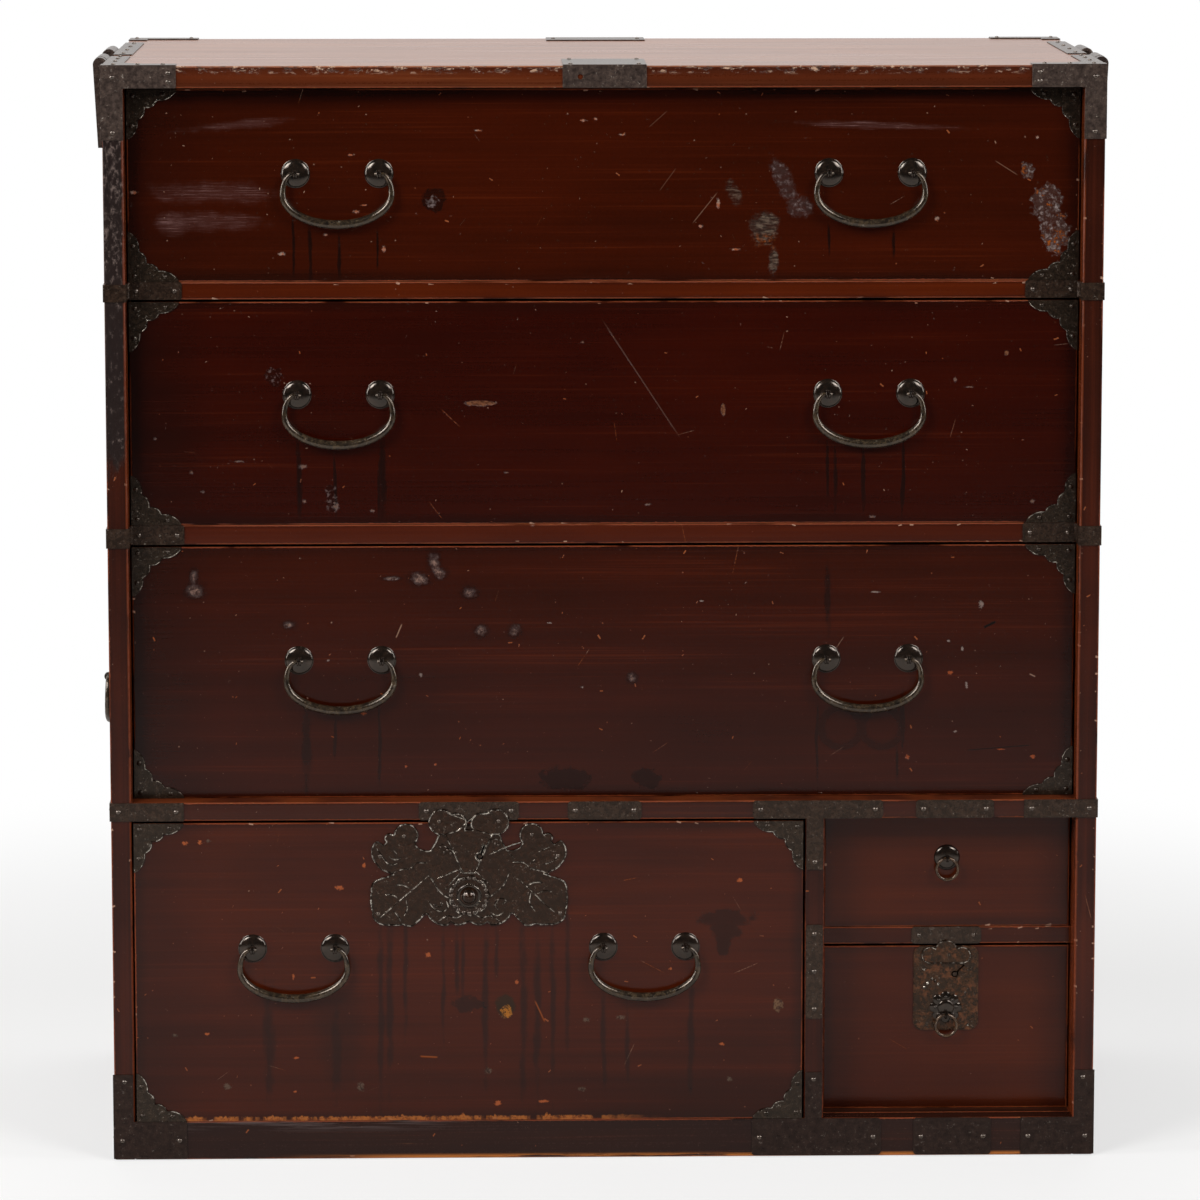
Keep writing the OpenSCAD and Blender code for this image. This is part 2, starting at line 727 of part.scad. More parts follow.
module case_nails() {
  centre_plate = [-centre_plate_w / 2, centre_plate_w];
  color(iron) {
    mirrored_too() side_nails();
    nails_on_top([
      for (x = end_places(centre_plate)) for (y = end_places([front_y, centre_plate_l])) [x, y],
      for (x = end_places([-back_strap_w / 2, back_strap_w])) [x, back_y - centre_plate_l / 4]]);
    nails_on_front(front_y, [
      for (p = lower_rail_plates) for (x = end_places(p)) [x, rail_3_z + lower_rail_h / 2],
      for (p = base_plates) for (x = end_places(p)) [x, base_h / 2],
      [divider_x + divider_t / 2, rail_3_z - bracket_leg + nail_edge],
      [divider_x + divider_t / 2, base_h + base_bracket_leg - nail_edge],
      for (z = [0.1, 0.5, 0.9])
        [divider_x + divider_t / 2, base_h + divider_plate_up + divider_plate_h * z]]);
    nails_on_front(front_y + small_recess, [
      for (x = end_places([mid_x(5) - small_rail_plate_w / 2, small_rail_plate_w]))
        [x, small_rail_z + small_rail_h / 2]]);
  }
}

// Carrying loops and side bails

loop_pivot_z = case_h - loop_under;
loop_mid_y = front_y + case_d / 2;
loop_start = loop_mid_y - loop_w / 2;

// Knuckles on the right side, each with its plate on the wood
module knuckle(y) {
  translate([half_w, y, loop_pivot_z]) difference() {
    union() {
      board(0, 0, -knuckle_plate_h, iron_t, knuckle_l, knuckle_plate_h + loop_under / 2);
      board(0, 0, -knuckle_r / 2, loop_out, knuckle_l, knuckle_r);
      translate([loop_out, 0, 0]) rotate([-90, 0, 0]) cylinder(r = knuckle_r, h = knuckle_l);
    }
    translate([loop_out, -slack, 0]) rotate([-90, 0, 0])
      cylinder(r = loop_pin_r + pin_clearance, h = knuckle_l + 2 * slack);
  }
}

module loop_mounts() {
  inset = loop_bar + knuckle_gap;
  color(iron) mirrored_too() {
    knuckle(loop_start + inset);
    knuckle(loop_start + loop_w - inset - knuckle_l);
  }
}

// The loop on the right side: two arms, a grip and a pin at the top of each arm
module carry_loop() {
  eye_radius = loop_t / 2;
  translate([half_w + loop_out, loop_start, loop_pivot_z]) {
    difference() {
      union() {
        translate([0, loop_w, 0]) rotate([90, 0, 0]) linear_extrude(loop_w)
          polygon([[-eye_radius, 0], [-eye_radius, -loop_drop], [-eye_radius + loop_end_t, -loop_drop],
                   [eye_radius, 0]]);
        rotate([-90, 0, 0]) cylinder(r = eye_radius, h = loop_w);
      }
      board(-loop_t, loop_bar, -loop_drop + loop_bar, 2 * loop_t, loop_w - 2 * loop_bar, 2 * loop_drop);
    }
    for (y = [loop_bar - slack, loop_w - loop_bar - knuckle_l + slack])
      translate([0, y, 0]) rotate([-90, 0, 0]) cylinder(r = loop_pin_r, h = knuckle_l);
  }
}

module right_carry_loop() {
  color(iron) carry_loop();
}

module left_carry_loop() {
  color(iron) mirror([1, 0, 0]) carry_loop();
}

module side_bail_posts() {
  color(iron) mirrored_too() on_side(loop_mid_y, side_bail_z) bail_posts_pair(side_bail_out);
}

module side_bail() {
  on_side(loop_mid_y, side_bail_z) translate([0, 0, side_bail_out]) bail();
}

module right_side_bail() {
  color(iron) side_bail();
}

module left_side_bail() {
  color(iron) mirror([1, 0, 0]) side_bail();
}

// Drawers

// Places of the keyholes beside the middle and under the opening's top, and the slots' lean
keyhole_x = [0, 0, 0, 10, 0, 8.4];
keyhole_under = [0, 0, 0, 34, 0, 29];
keyhole_lean = [0, 0, 0, 22, 0, 45];

module at_keyhole(i, depth) {
  on_front(mid_x(i) + keyhole_x[i], face_y(i) + depth, z_hi[i] - keyhole_under[i]) children();
}

// A keyhole from some depth behind the face out through the plates: a round hole and a slot
module keyhole(i, depth) {
  length = depth + 6 * lock_plate_t;
  at_keyhole(i, depth) {
    cylinder(r = keyhole_r, h = length);
    rotate(-keyhole_lean[i]) board(-keyhole_slot_w / 2, 0, 0, keyhole_slot_w, keyhole_slot_l, length);
  }
}

module drawer_front(i) {
  color(wood) difference() {
    board(x_lo[i] + side_gap, face_y(i), wood_z(i), wood_w(i), front_t, wood_h(i));
    if (keyhole_under[i] > 0) keyhole(i, front_t + slack);
  }
}

module drawer_box(i) {
  start_x = x_lo[i] + side_gap;
  start_y = face_y(i) + front_t + glue_gap;
  depth = back_inner_y - back_gap - start_y;
  wall_z = wood_z(i) + bottom_t + glue_gap;
  wall_h = wood_h(i) - bottom_t - glue_gap - wall_drop;
  color(plain_wood) {
    board(start_x, start_y, wood_z(i), wood_w(i), depth, bottom_t);
    for (x = [start_x, start_x + wood_w(i) - wall_t])
      board(x, start_y, wall_z, wall_t, depth, wall_h);
    board(start_x + wall_t + glue_gap, start_y + depth - wall_t, wall_z,
          wood_w(i) - 2 * wall_t - 2 * glue_gap, wall_t, wall_h);
  }
}

// A corner iron with its corner at the origin and its legs along X and Z
module corner_iron() {
  n = corner_leg;
  lobe = 0.055 * n;
  places = [[n, 0, 0], [0.98 * n, 0.06 * n, lobe], [0.61 * n, 0.225 * n, lobe],
            [0.365 * n, 0.365 * n, lobe], [0.225 * n, 0.61 * n, lobe], [0.06 * n, 0.98 * n, 0],
            [0, n, 0], [0, 0, 0]];
  linear_extrude(corner_t) polygon(outline(places, 5));
  for (p = [[0.12, 0.12], [0.72, 0.1], [0.1, 0.72]])
    translate([n * p[0], n * p[1], corner_t + glue_gap]) nail();
}

module drawer_corner_irons(i) {
  color(iron) on_front(0, face_y(i), 0) {
    for (x = [0, 1]) for (z = [0, 1])
      translate([x_lo[i] + side_gap + x * wood_w(i), wood_z(i) + z * wood_h(i), 0])
        mirror([x, 0, 0]) mirror([0, z, 0]) corner_iron();
  }
}

module drawer_bail_posts(i) {
  color(iron) for (side = [-1, 1])
    on_front(mid_x(i) + side * bail_off(i), face_y(i), pivot_z(i)) bail_posts_pair(bail_out);
}

module drawer_bail(i, side) {
  color(iron) on_front(mid_x(i) + side * bail_off(i), face_y(i) - bail_out, pivot_z(i)) bail();
}

// Rests on the bottom of its channel in the lock case, level with the top of the drawer front
function bolt_y(i) = face_y(i) + front_t + (lock_case_t - bolt_t) / 2;
function bolt_z(i) = wood_z(i) + wood_h(i) - bolt_h;

module lock_bolt(i) {
  color(iron) board(mid_x(i) - bolt_w / 2, bolt_y(i), bolt_z(i), bolt_w, bolt_t, bolt_h);
}

module lock_case(i) {
  case_z = wood_z(i) + wood_h(i) - wall_drop - lock_case_h;
  color(iron) difference() {
    board(mid_x(i) - lock_case_w / 2, face_y(i) + front_t, case_z, lock_case_w, lock_case_t, lock_case_h);
    board(mid_x(i) - bolt_w / 2 - bolt_gap, bolt_y(i) - bolt_gap, bolt_z(i) - drop_gap,
          bolt_w + 2 * bolt_gap, bolt_t + 2 * bolt_gap, bolt_h + 2 * wall_drop);
  }
  color(iron) at_keyhole(i, front_t) cylinder(r = keyhole_pin_r, h = front_t + lock_plate_t);
}

// The left half of the leaf plate, from its lowest middle place up to its top
leaf_places = [
  [0, 4.5, 0], [-4.5, 2.2, 0.6], [-13, 1.5, 0], [-17, 4, 0], [-20, 0.8, 1.2], [-33, 4.5, 0.8],
  [-38.5, 11.8, 0], [-40.5, 12, 0.5], [-52, 0.2, 0.6], [-61, 2, 0.6], [-73, 1.3, 1],
  [-84, 3.3, 2], [-89.5, 14, 1.2], [-90.5, 33, 0.8], [-88.7, 41.8, 0.8], [-76.7, 47, 0],
  [-69, 50, 0.5], [-77, 52, 1], [-85, 58.2, 1.5], [-90, 70.8, 1.5], [-84.9, 80.9, 0.3],
  [-78.6, 77, 0.5], [-68, 88, 0], [-49, 78, -1], [-43.3, 72.7, -0.6], [-35.5, 71.8, 0],
  [-31, 79.5, 1]
];
leaf_top = [24, 95];
leaf_lobe = [57.8, 86, 11.1]; // place and radius of the round lobe on each side
leaf_bump = [73, 83.4, 4.5]; // place and radius of the bump beside it

module leaf_plate() {
  last = len(leaf_places) - 1;
  left_side_down = [for (k = [last:-1:1])
    [leaf_places[k][0], leaf_places[k][1], leaf_places[k - 1][2]]];
  right_side_up = [for (k = [1:last]) [-leaf_places[k][0], leaf_places[k][1], leaf_places[k][2]]];
  top = [[leaf_top[0], leaf_top[1], 0], [-leaf_top[0], leaf_top[1], 0]];
  linear_extrude(lock_plate_t) {
    polygon(outline(concat(top, left_side_down, [leaf_places[0]], right_side_up), 4));
    for (x = [-1, 1]) for (lobe = [leaf_lobe, leaf_bump])
      translate([x * lobe[0], lobe[1]]) circle(lobe[2]);
  }
}

// Two egg-shaped lobes over the gap above drawer 4, on a root that fans out of the leaf plate
module hasp() {
  r = hasp_lobe_d / 2;
  linear_extrude(lock_plate_t) {
    for (x = [-1, 1]) {
      translate([x * 2.1 * r, 0]) circle(r);
      translate([x * 0.95 * r, -0.1 * r]) circle(0.8 * r);
    }
    polygon([[-2 * r, -0.6 * r], [-0.5 * r, -4 * r], [0.5 * r, -4 * r], [2 * r, -0.6 * r]]);
  }
}

module drawer_4_lock_plate() {
  plate_z = pivot_z(3) + leaf_z;
  over_plate = face_y(3) - lock_plate_t - glue_gap;
  knob_neck = 5;
  color(iron) {
    difference() {
      union() {
        on_front(mid_x(3), face_y(3), plate_z) leaf_plate();
        on_front(mid_x(3), over_plate, rail_3_z - hasp_under) hasp();
      }
      keyhole(3, slack);
    }
    on_front(mid_x(3), over_plate, plate_z + knob_up) {
      flower(knob_rosette_d, 9, flower_t);
      translate([0, 0, flower_t]) dome(knob_rosette_d * 0.29, 2.2);
      cylinder(d = knob_d / 2, h = knob_neck + slack);
      translate([0, 0, knob_neck]) dome(knob_d / 2, 5);
    }
  }
}

module drawer_6_lock_plate() {
  plate_top = wood_z(5) + wood_h(5);
  shoulder_r = 8;
  shoulder_drop = 0.5;
  tongue_up = 5.8;
  color(rusty_iron) difference() {
    union() {
      on_front(mid_x(5), face_y(5), plate_top - small_plate_h)
        plate(-small_plate_w / 2, 0, small_plate_w, small_plate_h, lock_plate_t, shoulder_r);
      on_front(mid_x(5), face_y(5) - lock_plate_t, plate_top) linear_extrude(lock_plate_t) {
        translate([0, tongue_up - tongue_r]) circle(tongue_r);
        for (x = [-shoulder_x, shoulder_x]) translate([x, -shoulder_drop - shoulder_r]) circle(shoulder_r);
        translate([-shoulder_x, -2 * shoulder_r - shoulder_drop]) square([2 * shoulder_x, 1.5 * shoulder_r]);
      }
    }
    keyhole(5, slack);
  }
}

// The ring posts of the small drawers, on a round plate or on a flower
module drawer_5_ring_post() {
  color(iron) on_front(mid_x(4), face_y(4), z_lo[4] + ring_5_z) {
    cylinder(d = ring_plate_d, h = flower_t);
    ring_eye();
  }
}

module drawer_6_ring_post() {
  color(iron) on_front(mid_x(5), face_y(5) - lock_plate_t, z_lo[5] + ring_6_z) {
    translate([0, flower_up, 0]) {
      flower(flower_d, 8, flower_t);
      translate([0, 0, flower_t]) dome(flower_d * 0.23, 2);
    }
    ring_eye();
  }
}

module drawer_5_ring() {
  color(iron) on_front(mid_x(4), face_y(4) - ring_out, z_lo[4] + ring_5_z) ring();
}

module drawer_6_ring() {
  color(iron) on_front(mid_x(5), face_y(5) - lock_plate_t - ring_out, z_lo[5] + ring_6_z) ring();
}

// Each node by its name

top_board();
left_side();
right_side();
base_rail();
floor_board();
back_boards();
upper_rail();
middle_rail();
lower_rail();
divider_board();
small_rail();
drawer_runners();
top_irons();
rail_irons();
base_irons();
case_nails();
loop_mounts();
side_bail_posts();
left_carry_loop();
right_carry_loop();
left_side_bail();
right_side_bail();
for (i = [0:5]) {
  drawer_front(i);
  drawer_box(i);
}
for (i = [0:3]) {
  drawer_corner_irons(i);
  drawer_bail_posts(i);
  drawer_bail(i, -1);
  drawer_bail(i, 1);
}
for (i = [3, 5]) {
  lock_case(i);
  lock_bolt(i);
}
drawer_4_lock_plate();
drawer_6_lock_plate();
drawer_5_ring_post();
drawer_6_ring_post();
drawer_5_ring();
drawer_6_ring();
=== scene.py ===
# %% [markdown]
# # An iron-bound clothing chest
# The chest is a lacquered wood case with three wide drawers, one wide lower drawer with a
# leaf-shaped lock plate, and a small compartment with two little drawers. The solids come from
# the imported frame. They already have the right sizes and joints, so this lesson only dresses
# them. Boards and plates that have the right shape stay, and get rounded edges and a finish.
# Handles and rosettes are built again with more detail than a solid for construction needs. The
# lock plates and corner irons keep their solids, with chased lines, rims, screws and a knob added.

# %% Load the frame
import json
import math

import bmesh
import bpy
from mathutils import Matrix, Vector


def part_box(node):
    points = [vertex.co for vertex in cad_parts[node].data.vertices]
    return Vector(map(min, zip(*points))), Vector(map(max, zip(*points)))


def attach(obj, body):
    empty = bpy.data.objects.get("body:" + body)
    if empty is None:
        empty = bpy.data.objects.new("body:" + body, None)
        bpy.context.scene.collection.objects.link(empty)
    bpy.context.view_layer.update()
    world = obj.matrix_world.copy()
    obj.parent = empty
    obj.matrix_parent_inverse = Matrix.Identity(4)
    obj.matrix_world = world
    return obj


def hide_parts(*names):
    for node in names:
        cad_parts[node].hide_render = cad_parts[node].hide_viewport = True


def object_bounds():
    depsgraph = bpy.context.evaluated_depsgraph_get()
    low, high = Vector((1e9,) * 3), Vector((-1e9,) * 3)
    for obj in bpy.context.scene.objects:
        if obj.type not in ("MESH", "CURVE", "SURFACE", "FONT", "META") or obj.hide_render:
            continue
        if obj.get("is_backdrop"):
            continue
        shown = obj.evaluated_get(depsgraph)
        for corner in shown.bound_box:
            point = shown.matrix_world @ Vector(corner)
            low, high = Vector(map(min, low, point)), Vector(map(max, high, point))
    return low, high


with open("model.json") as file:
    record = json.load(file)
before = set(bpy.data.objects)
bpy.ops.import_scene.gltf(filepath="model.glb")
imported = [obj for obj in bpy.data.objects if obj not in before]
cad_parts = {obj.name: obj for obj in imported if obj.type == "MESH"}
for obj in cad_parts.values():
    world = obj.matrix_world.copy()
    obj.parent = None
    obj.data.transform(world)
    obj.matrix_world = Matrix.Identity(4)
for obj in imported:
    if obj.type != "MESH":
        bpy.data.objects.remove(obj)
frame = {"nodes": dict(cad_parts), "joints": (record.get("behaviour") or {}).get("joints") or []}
nodes = frame["nodes"]
pivots = {joint["name"]: joint.get("pos_m") for joint in frame["joints"]}
cad_low, cad_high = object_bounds()
print("solids:", len(nodes), " size in mm:", [round(1000 * side) for side in cad_high - cad_low])

# %% [markdown]
# ## Finishes as sums
# Each finish is a network of nodes. Written node by node, such a network is long and hard to
# follow, so a small class wraps a socket and gives it the usual operators. A line such as
# `worn = edge * grain + 0.2` then adds the Math nodes for it. Colours are mixed with Mix nodes,
# because a Math node would turn them grey, and one method adds any other kind of node.

# %% A class for sums on sockets


class Field:
    """A number, colour or place that changes over a surface. Operators add nodes."""

    def __init__(self, net, socket):
        self.net = net
        self.socket = socket

    def _sum(self, operation, *values):
        node = self.net.tree.nodes.new("ShaderNodeMath")
        node.operation = operation
        for socket, value in zip(node.inputs, values):
            self.net.feed(socket, value)
        return Field(self.net, node.outputs[0])

    def __add__(self, other):
        return self._sum("ADD", self, other)

    __radd__ = __add__

    def __sub__(self, other):
        return self._sum("SUBTRACT", self, other)

    def __rsub__(self, other):
        return self._sum("SUBTRACT", other, self)

    def __mul__(self, other):
        return self._sum("MULTIPLY", self, other)

    __rmul__ = __mul__

    def __truediv__(self, other):
        return self._sum("DIVIDE", self, other)

    def __pow__(self, power):
        return self._sum("POWER", self, power)

    def __abs__(self):
        return self._sum("ABSOLUTE", self)

    def other(self, output):
        """Another output of the same node."""
        return Field(self.net, self.socket.node.outputs[output])

    def low(self, other):
        """The smaller of the two."""
        return self._sum("MINIMUM", self, other)

    def high(self, other):
        """The larger of the two."""
        return self._sum("MAXIMUM", self, other)

    def rise(self, start, end):
        """0 up to the start and 1 from the end, with a soft way between. The end may be lower."""
        node = self.net.tree.nodes.new("ShaderNodeMapRange")
        node.interpolation_type = "SMOOTHSTEP"
        self.net.feed(node.inputs["Value"], self)
        if start < end:
            node.inputs["From Min"].default_value = start
            node.inputs["From Max"].default_value = end
        else:
            node.inputs["From Min"].default_value = end
            node.inputs["From Max"].default_value = start
            node.inputs["To Min"].default_value = 1.0
            node.inputs["To Max"].default_value = 0.0
        return Field(self.net, node.outputs["Result"])


# %% [markdown]
# A network is a set of nodes: a finish has one, and so does the world. The one method `node`
# adds any node, with its settings first and then its sockets. A finish starts as a Principled
# shader. Its places are in millimetres in the chest's own frame, so a stain is put where it is
# on the real drawer, and it stays on the drawer when it slides. Noise that is stretched along
# one axis makes grain, and noise in round steps makes patches.

# %% Classes for a network and a finish
seed_steps = {"x": 7.3, "y": 3.1, "z": 5.7}


class Network:
    """The nodes of one material or of the world."""

    def __init__(self, tree):
        self.tree = tree

    def feed(self, socket, value):
        """Links a field, or sets a plain value on the socket."""
        if isinstance(value, Field):
            self.tree.links.new(value.socket, socket)
        else:
            socket.default_value = value

    def node(self, kind, settings=None, output=0, sockets=None, **named):
        """Any node: its settings first, then its sockets by number or by name."""
        node = self.tree.nodes.new(kind)
        for name, value in (settings or {}).items():
            setattr(node, name, value)
        for number, value in (sockets or {}).items():
            self.feed(node.inputs[number], value)
        for name, value in named.items():
            self.feed(node.inputs[name.replace("_", " ")], value)
        return Field(self, node.outputs[output] if node.outputs else None)

    def mix(self, amount, under, over):
        """A colour that goes from under to over as the amount goes from 0 to 1."""
        return self.node("ShaderNodeMix", {"data_type": "RGBA"}, output=2,
                         sockets={0: amount, 6: under, 7: over})


class Finish(Network):
    """One material, with its places in millimetres."""

    def __init__(self, name, **constants):
        self.material = bpy.data.materials.new(name)
        self.material.use_nodes = True
        super().__init__(self.material.node_tree)
        self.shader = self.tree.nodes["Principled BSDF"]
        for socket_name, value in constants.items():
            self.shader.inputs[socket_name.replace("_", " ")].default_value = value
        metres = self.node("ShaderNodeTexCoord", output="Object")
        self.place = self.node("ShaderNodeVectorMath", {"operation": "SCALE"}, Vector=metres, Scale=1000.0)
        self.x = self.node("ShaderNodeSeparateXYZ", Vector=self.place)
        self.y = self.x.other("Y")
        self.z = self.x.other("Z")

    def scaled(self, sizes, seed):
        """Places divided by a size in millimetres along each axis, and moved by the seed."""
        return self.node("ShaderNodeMapping", Vector=self.place, Scale=[1 / size for size in sizes],
                         Location=[seed * step for step in seed_steps.values()])

    def noise(self, across, deep, up, detail=4.0, rough=0.55, seed=0.0):
        """Noise around 0.5. The size of its lumps is given in millimetres along each axis."""
        place = self.scaled((across, deep, up), seed)
        return self.node("ShaderNodeTexNoise", Vector=place, Scale=1.0, Detail=detail, Roughness=rough)

    def cells(self, across, deep, up, seed=0.0):
        """Scattered cells of a size in millimetres: their middles and their chance colours."""
        return self.node("ShaderNodeTexVoronoi", Vector=self.scaled((across, deep, up), seed), Scale=1.0)

    def done(self, colour, rough, height, depth, metal=0.0):
        """Links what changes over the surface. The height is a bump, its depth is in millimetres."""
        self.feed(self.shader.inputs["Base Color"], colour)
        self.feed(self.shader.inputs["Roughness"], rough)
        self.feed(self.shader.inputs["Metallic"], metal)
        bump = self.node("ShaderNodeBump", Strength=1.0, Distance=depth / 1000, Height=height)
        self.feed(self.shader.inputs["Normal"], bump)
        return self.material


def tone(red, green, blue):
    """A colour as it is seen, from 0 to 255, as the linear colour that a shader takes."""
    linear = [((c / 255 + 0.055) / 1.055) ** 2.4 if c > 10 else c / 255 / 12.92 for c in (red, green, blue)]
    return (*linear, 1.0)


print("a dark lacquer as a linear colour:", [round(c, 4) for c in tone(62, 22, 12)])

# %% [markdown]
# ## Room, floor and light
# The photograph shows the chest against white, with a dark studio in front of it: the polished
# fronts stay deep, and only the low drawers get a haze from the pale floor before them. A white
# room would be simpler, but its reflection would turn the dark lacquer grey. So the world is
# a dim room, and only the part behind the chest is white, for the camera and for reflections.

# %% The world behind and before the chest
scene = bpy.context.scene
scene.view_settings.view_transform = "Standard"
room_level = 0.05
scene.world = bpy.data.worlds.new("studio_room")
scene.world.use_nodes = True
scene.world.node_tree.nodes.clear()
room = Network(scene.world.node_tree)
camera_ray = room.node("ShaderNodeLightPath", output="Is Camera Ray")
mirrored = camera_ray.other("Is Glossy Ray").high(camera_ray.other("Is Transmission Ray"))
direction = room.node("ShaderNodeTexCoord", output="Generated")
behind = room.node("ShaderNodeSeparateXYZ", output="Y", Vector=direction).rise(0.0, 0.1)
white_part = camera_ray.high(mirrored * behind)
sky = room.node("ShaderNodeBackground", Strength=white_part * (1 - room_level) + room_level)
sky.socket.node.inputs["Color"].default_value = (1, 1, 1, 1)
room.node("ShaderNodeOutputWorld", Surface=sky)
print("level of the room before the chest:", room_level)

# %% [markdown]
# The floor is one large pale sheet. Close to the chest it takes a soft shadow. Further out it
# goes over to plain white for the camera, so that floor and background meet with no line. For
# reflections it is grey and ends 3 m off, which leaves a haze on the low drawers alone.

# %% Floor
floor_mesh = bpy.data.meshes.new("floor")
far = 60.0
floor_mesh.from_pydata([(-far, -far, 0), (far, -far, 0), (far, far, 0), (-far, far, 0)], [], [(0, 1, 2, 3)])
floor = bpy.data.objects.new("floor", floor_mesh)
floor.location.z = -0.0005
scene.collection.objects.link(floor)
floor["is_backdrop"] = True

pale_floor = Finish("pale_floor", Roughness=0.9)
away = pale_floor.node("ShaderNodeVectorMath", {"operation": "LENGTH"}, output="Value",
                       Vector=pale_floor.place)
seen = pale_floor.node("ShaderNodeLightPath", output="Is Camera Ray")
paper = pale_floor.mix(away.rise(2700, 3300), (0.5, 0.49, 0.48, 1), (0.06, 0.06, 0.06, 1))
pale_floor.feed(pale_floor.shader.inputs["Base Color"], pale_floor.mix(seen, paper, (0.84, 0.83, 0.82, 1)))
white = pale_floor.node("ShaderNodeEmission")
lit = Field(pale_floor, pale_floor.shader.outputs[0])
both = pale_floor.node("ShaderNodeMixShader",
                       sockets={0: seen * (away.rise(700, 1700) * 0.45 + 0.55), 1: lit, 2: white})
pale_floor.feed(pale_floor.tree.nodes["Material Output"].inputs["Surface"], both)
floor_mesh.materials.append(pale_floor.material)
print("side of the floor in m:", 2 * far)

# %% [markdown]
# Two softboxes stand before the chest on both sides, above eye height. Their mirror images pass
# beside and over the flat fronts, so the polish shows only on round and bent iron. Two tall
# lamps beside the chest draw the bright crescents on the rims of the rosettes. A broad lamp
# from above lights the top.

# %% Lamps


def softbox(name, place, aim, size, power):
    """A rectangular lamp that points from its place to its aim, in metres and watts."""
    lamp = bpy.data.lights.new(name, "AREA")
    lamp.shape = "RECTANGLE"
    lamp.size, lamp.size_y = size
    lamp.energy = power
    holder = bpy.data.objects.new(name, lamp)
    holder.location = place
    holder.rotation_euler = (Vector(aim) - Vector(place)).to_track_quat("-Z", "Y").to_euler()
    scene.collection.objects.link(holder)


middle = (0, 0, 0.5)
softbox("front_left_lamp", (-2.6, -3.0, 2.9), middle, (1.7, 1.7), 120)
softbox("front_right_lamp", (2.6, -3.0, 2.9), middle, (1.7, 1.7), 90)
softbox("left_side_lamp", (-2.6, -0.7, 1.4), middle, (0.6, 1.7), 36)
softbox("right_side_lamp", (2.6, -0.7, 1.4), middle, (0.6, 1.7), 26)
softbox("top_lamp", (0, 0.6, 3.2), middle, (1.6, 1.0), 30)
print("lamps:", len(bpy.data.lights))

# %% [markdown]
# The photograph was taken with a shifted lens, at about 1.3 m above the floor and a little left
# of the middle. A large shift would push the chest out of every other view, so the camera is
# tilted down instead, and keeps only a small shift. It stands 5 m off, further than the real
# one, so that the tilt narrows the foot of the chest only a little.

# %% Camera
camera_data = bpy.data.cameras.new("camera")
camera_data.sensor_width = 36
camera_data.lens = 165.7
camera_data.shift_y = -0.067
camera = bpy.data.objects.new("camera", camera_data)
camera_distance = 5.0
tilt_down, turn_right = math.radians(8.24), math.radians(1.28)
camera.location = (-0.116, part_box("left_side")[0].y - camera_distance, 1.3235)
camera.rotation_euler = (math.radians(90) - tilt_down, 0, -turn_right)
camera_data.clip_end = 200
scene.collection.objects.link(camera)
scene.camera = camera
print("camera at", [round(c, 3) for c in camera.location])

# %% [markdown]
# ## Rounded edges
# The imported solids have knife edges, which catch no light. Real boards and plates are a little
# round, more so after a hundred years. A Weld modifier joins the faces, a Bevel modifier rounds
# the edges, and Weighted Normal keeps the broad faces flat in their shading.

# %% Modifiers and finishes for a solid that stays
rounded_from = math.radians(35)


def soften(thing, width, segments):
    """Rounds the sharp edges of a solid by a width in millimetres."""
    weld = thing.modifiers.new("join_faces", "WELD")
    weld.merge_threshold = 0.00001
    bevel = thing.modifiers.new("round_edges", "BEVEL")
    bevel.width = width / 1000
    bevel.segments = segments
    bevel.limit_method = "ANGLE"
    bevel.angle_limit = rounded_from
    normals = thing.modifiers.new("flat_faces", "WEIGHTED_NORMAL")
    normals.keep_sharp = False
    thing.data.polygons.foreach_set("use_smooth", [True] * len(thing.data.polygons))


def dress(name, material, round_by=0.0, segments=2):
    """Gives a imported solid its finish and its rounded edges."""
    thing = nodes[name]
    thing.data.materials.clear()
    thing.data.materials.append(material)
    if round_by:
        soften(thing, round_by, segments)


print("edges are rounded from an angle of", round(math.degrees(rounded_from)), "degrees")


# %% [markdown]
# ## Lacquered wood
# The lacquer is thin and dark red-brown, and the softwood's grain shows through it. Along the
# edges it has worn to orange wood. It has small chips, fine scratches, dark drips of dirty oil
# under the handles and a few rubbed patches. The wear follows the real board: how far a place
# is from the board's nearest edge comes from the corners of its solid.

# %% Places and shapes of marks
far_off = 1e6


def edge_distance(finish, low, high):
    """How far a place on a board's face is from the nearest edge of that face, in millimetres."""
    gaps = []
    for here, start, end in zip((finish.x, finish.y, finish.z), low * 1000, high * 1000):
        gaps.append((here - start).low(end - here))
    nearer, farther = gaps[0].low(gaps[1]), gaps[0].high(gaps[1])
    return nearer.high(farther.low(gaps[2]))


def oval(finish, x, z, half_w, half_h, turn=0.0, place=None):
    """How far a place on a front is from an oval's middle: 1 is its edge. The turn is in degrees."""
    # A level oval does without a Mapping node. Many of those make a finish too large to render.
    if turn:
        local = finish.node("ShaderNodeMapping", {"vector_type": "TEXTURE"}, Vector=place or finish.place,
                            Location=(x, 0, z), Rotation=(0, math.radians(-turn), 0),
                            Scale=(half_w, far_off, half_h))
    else:
        shrink = (1 / half_w, 1 / far_off, 1 / half_h)
        local = finish.node("ShaderNodeVectorMath", {"operation": "MULTIPLY_ADD"},
                            sockets={0: place or finish.place, 1: shrink, 2: (-x / half_w, 0, -z / half_h)})
    return finish.node("ShaderNodeVectorMath", {"operation": "LENGTH"}, output="Value", Vector=local)


def blot(finish, x, z, half_w, half_h, ragged=0.5, size=9.0, seed=0.0, core=0.8, turn=0.0):
    """A patch with a ragged edge on a front: 1 in its core and 0 outside."""
    shred = finish.noise(size, size, size, detail=6, rough=0.7, seed=seed)
    return (oval(finish, x, z, half_w, half_h, turn) + (shred - 0.5) * (4 * ragged)).rise(1.05, core)


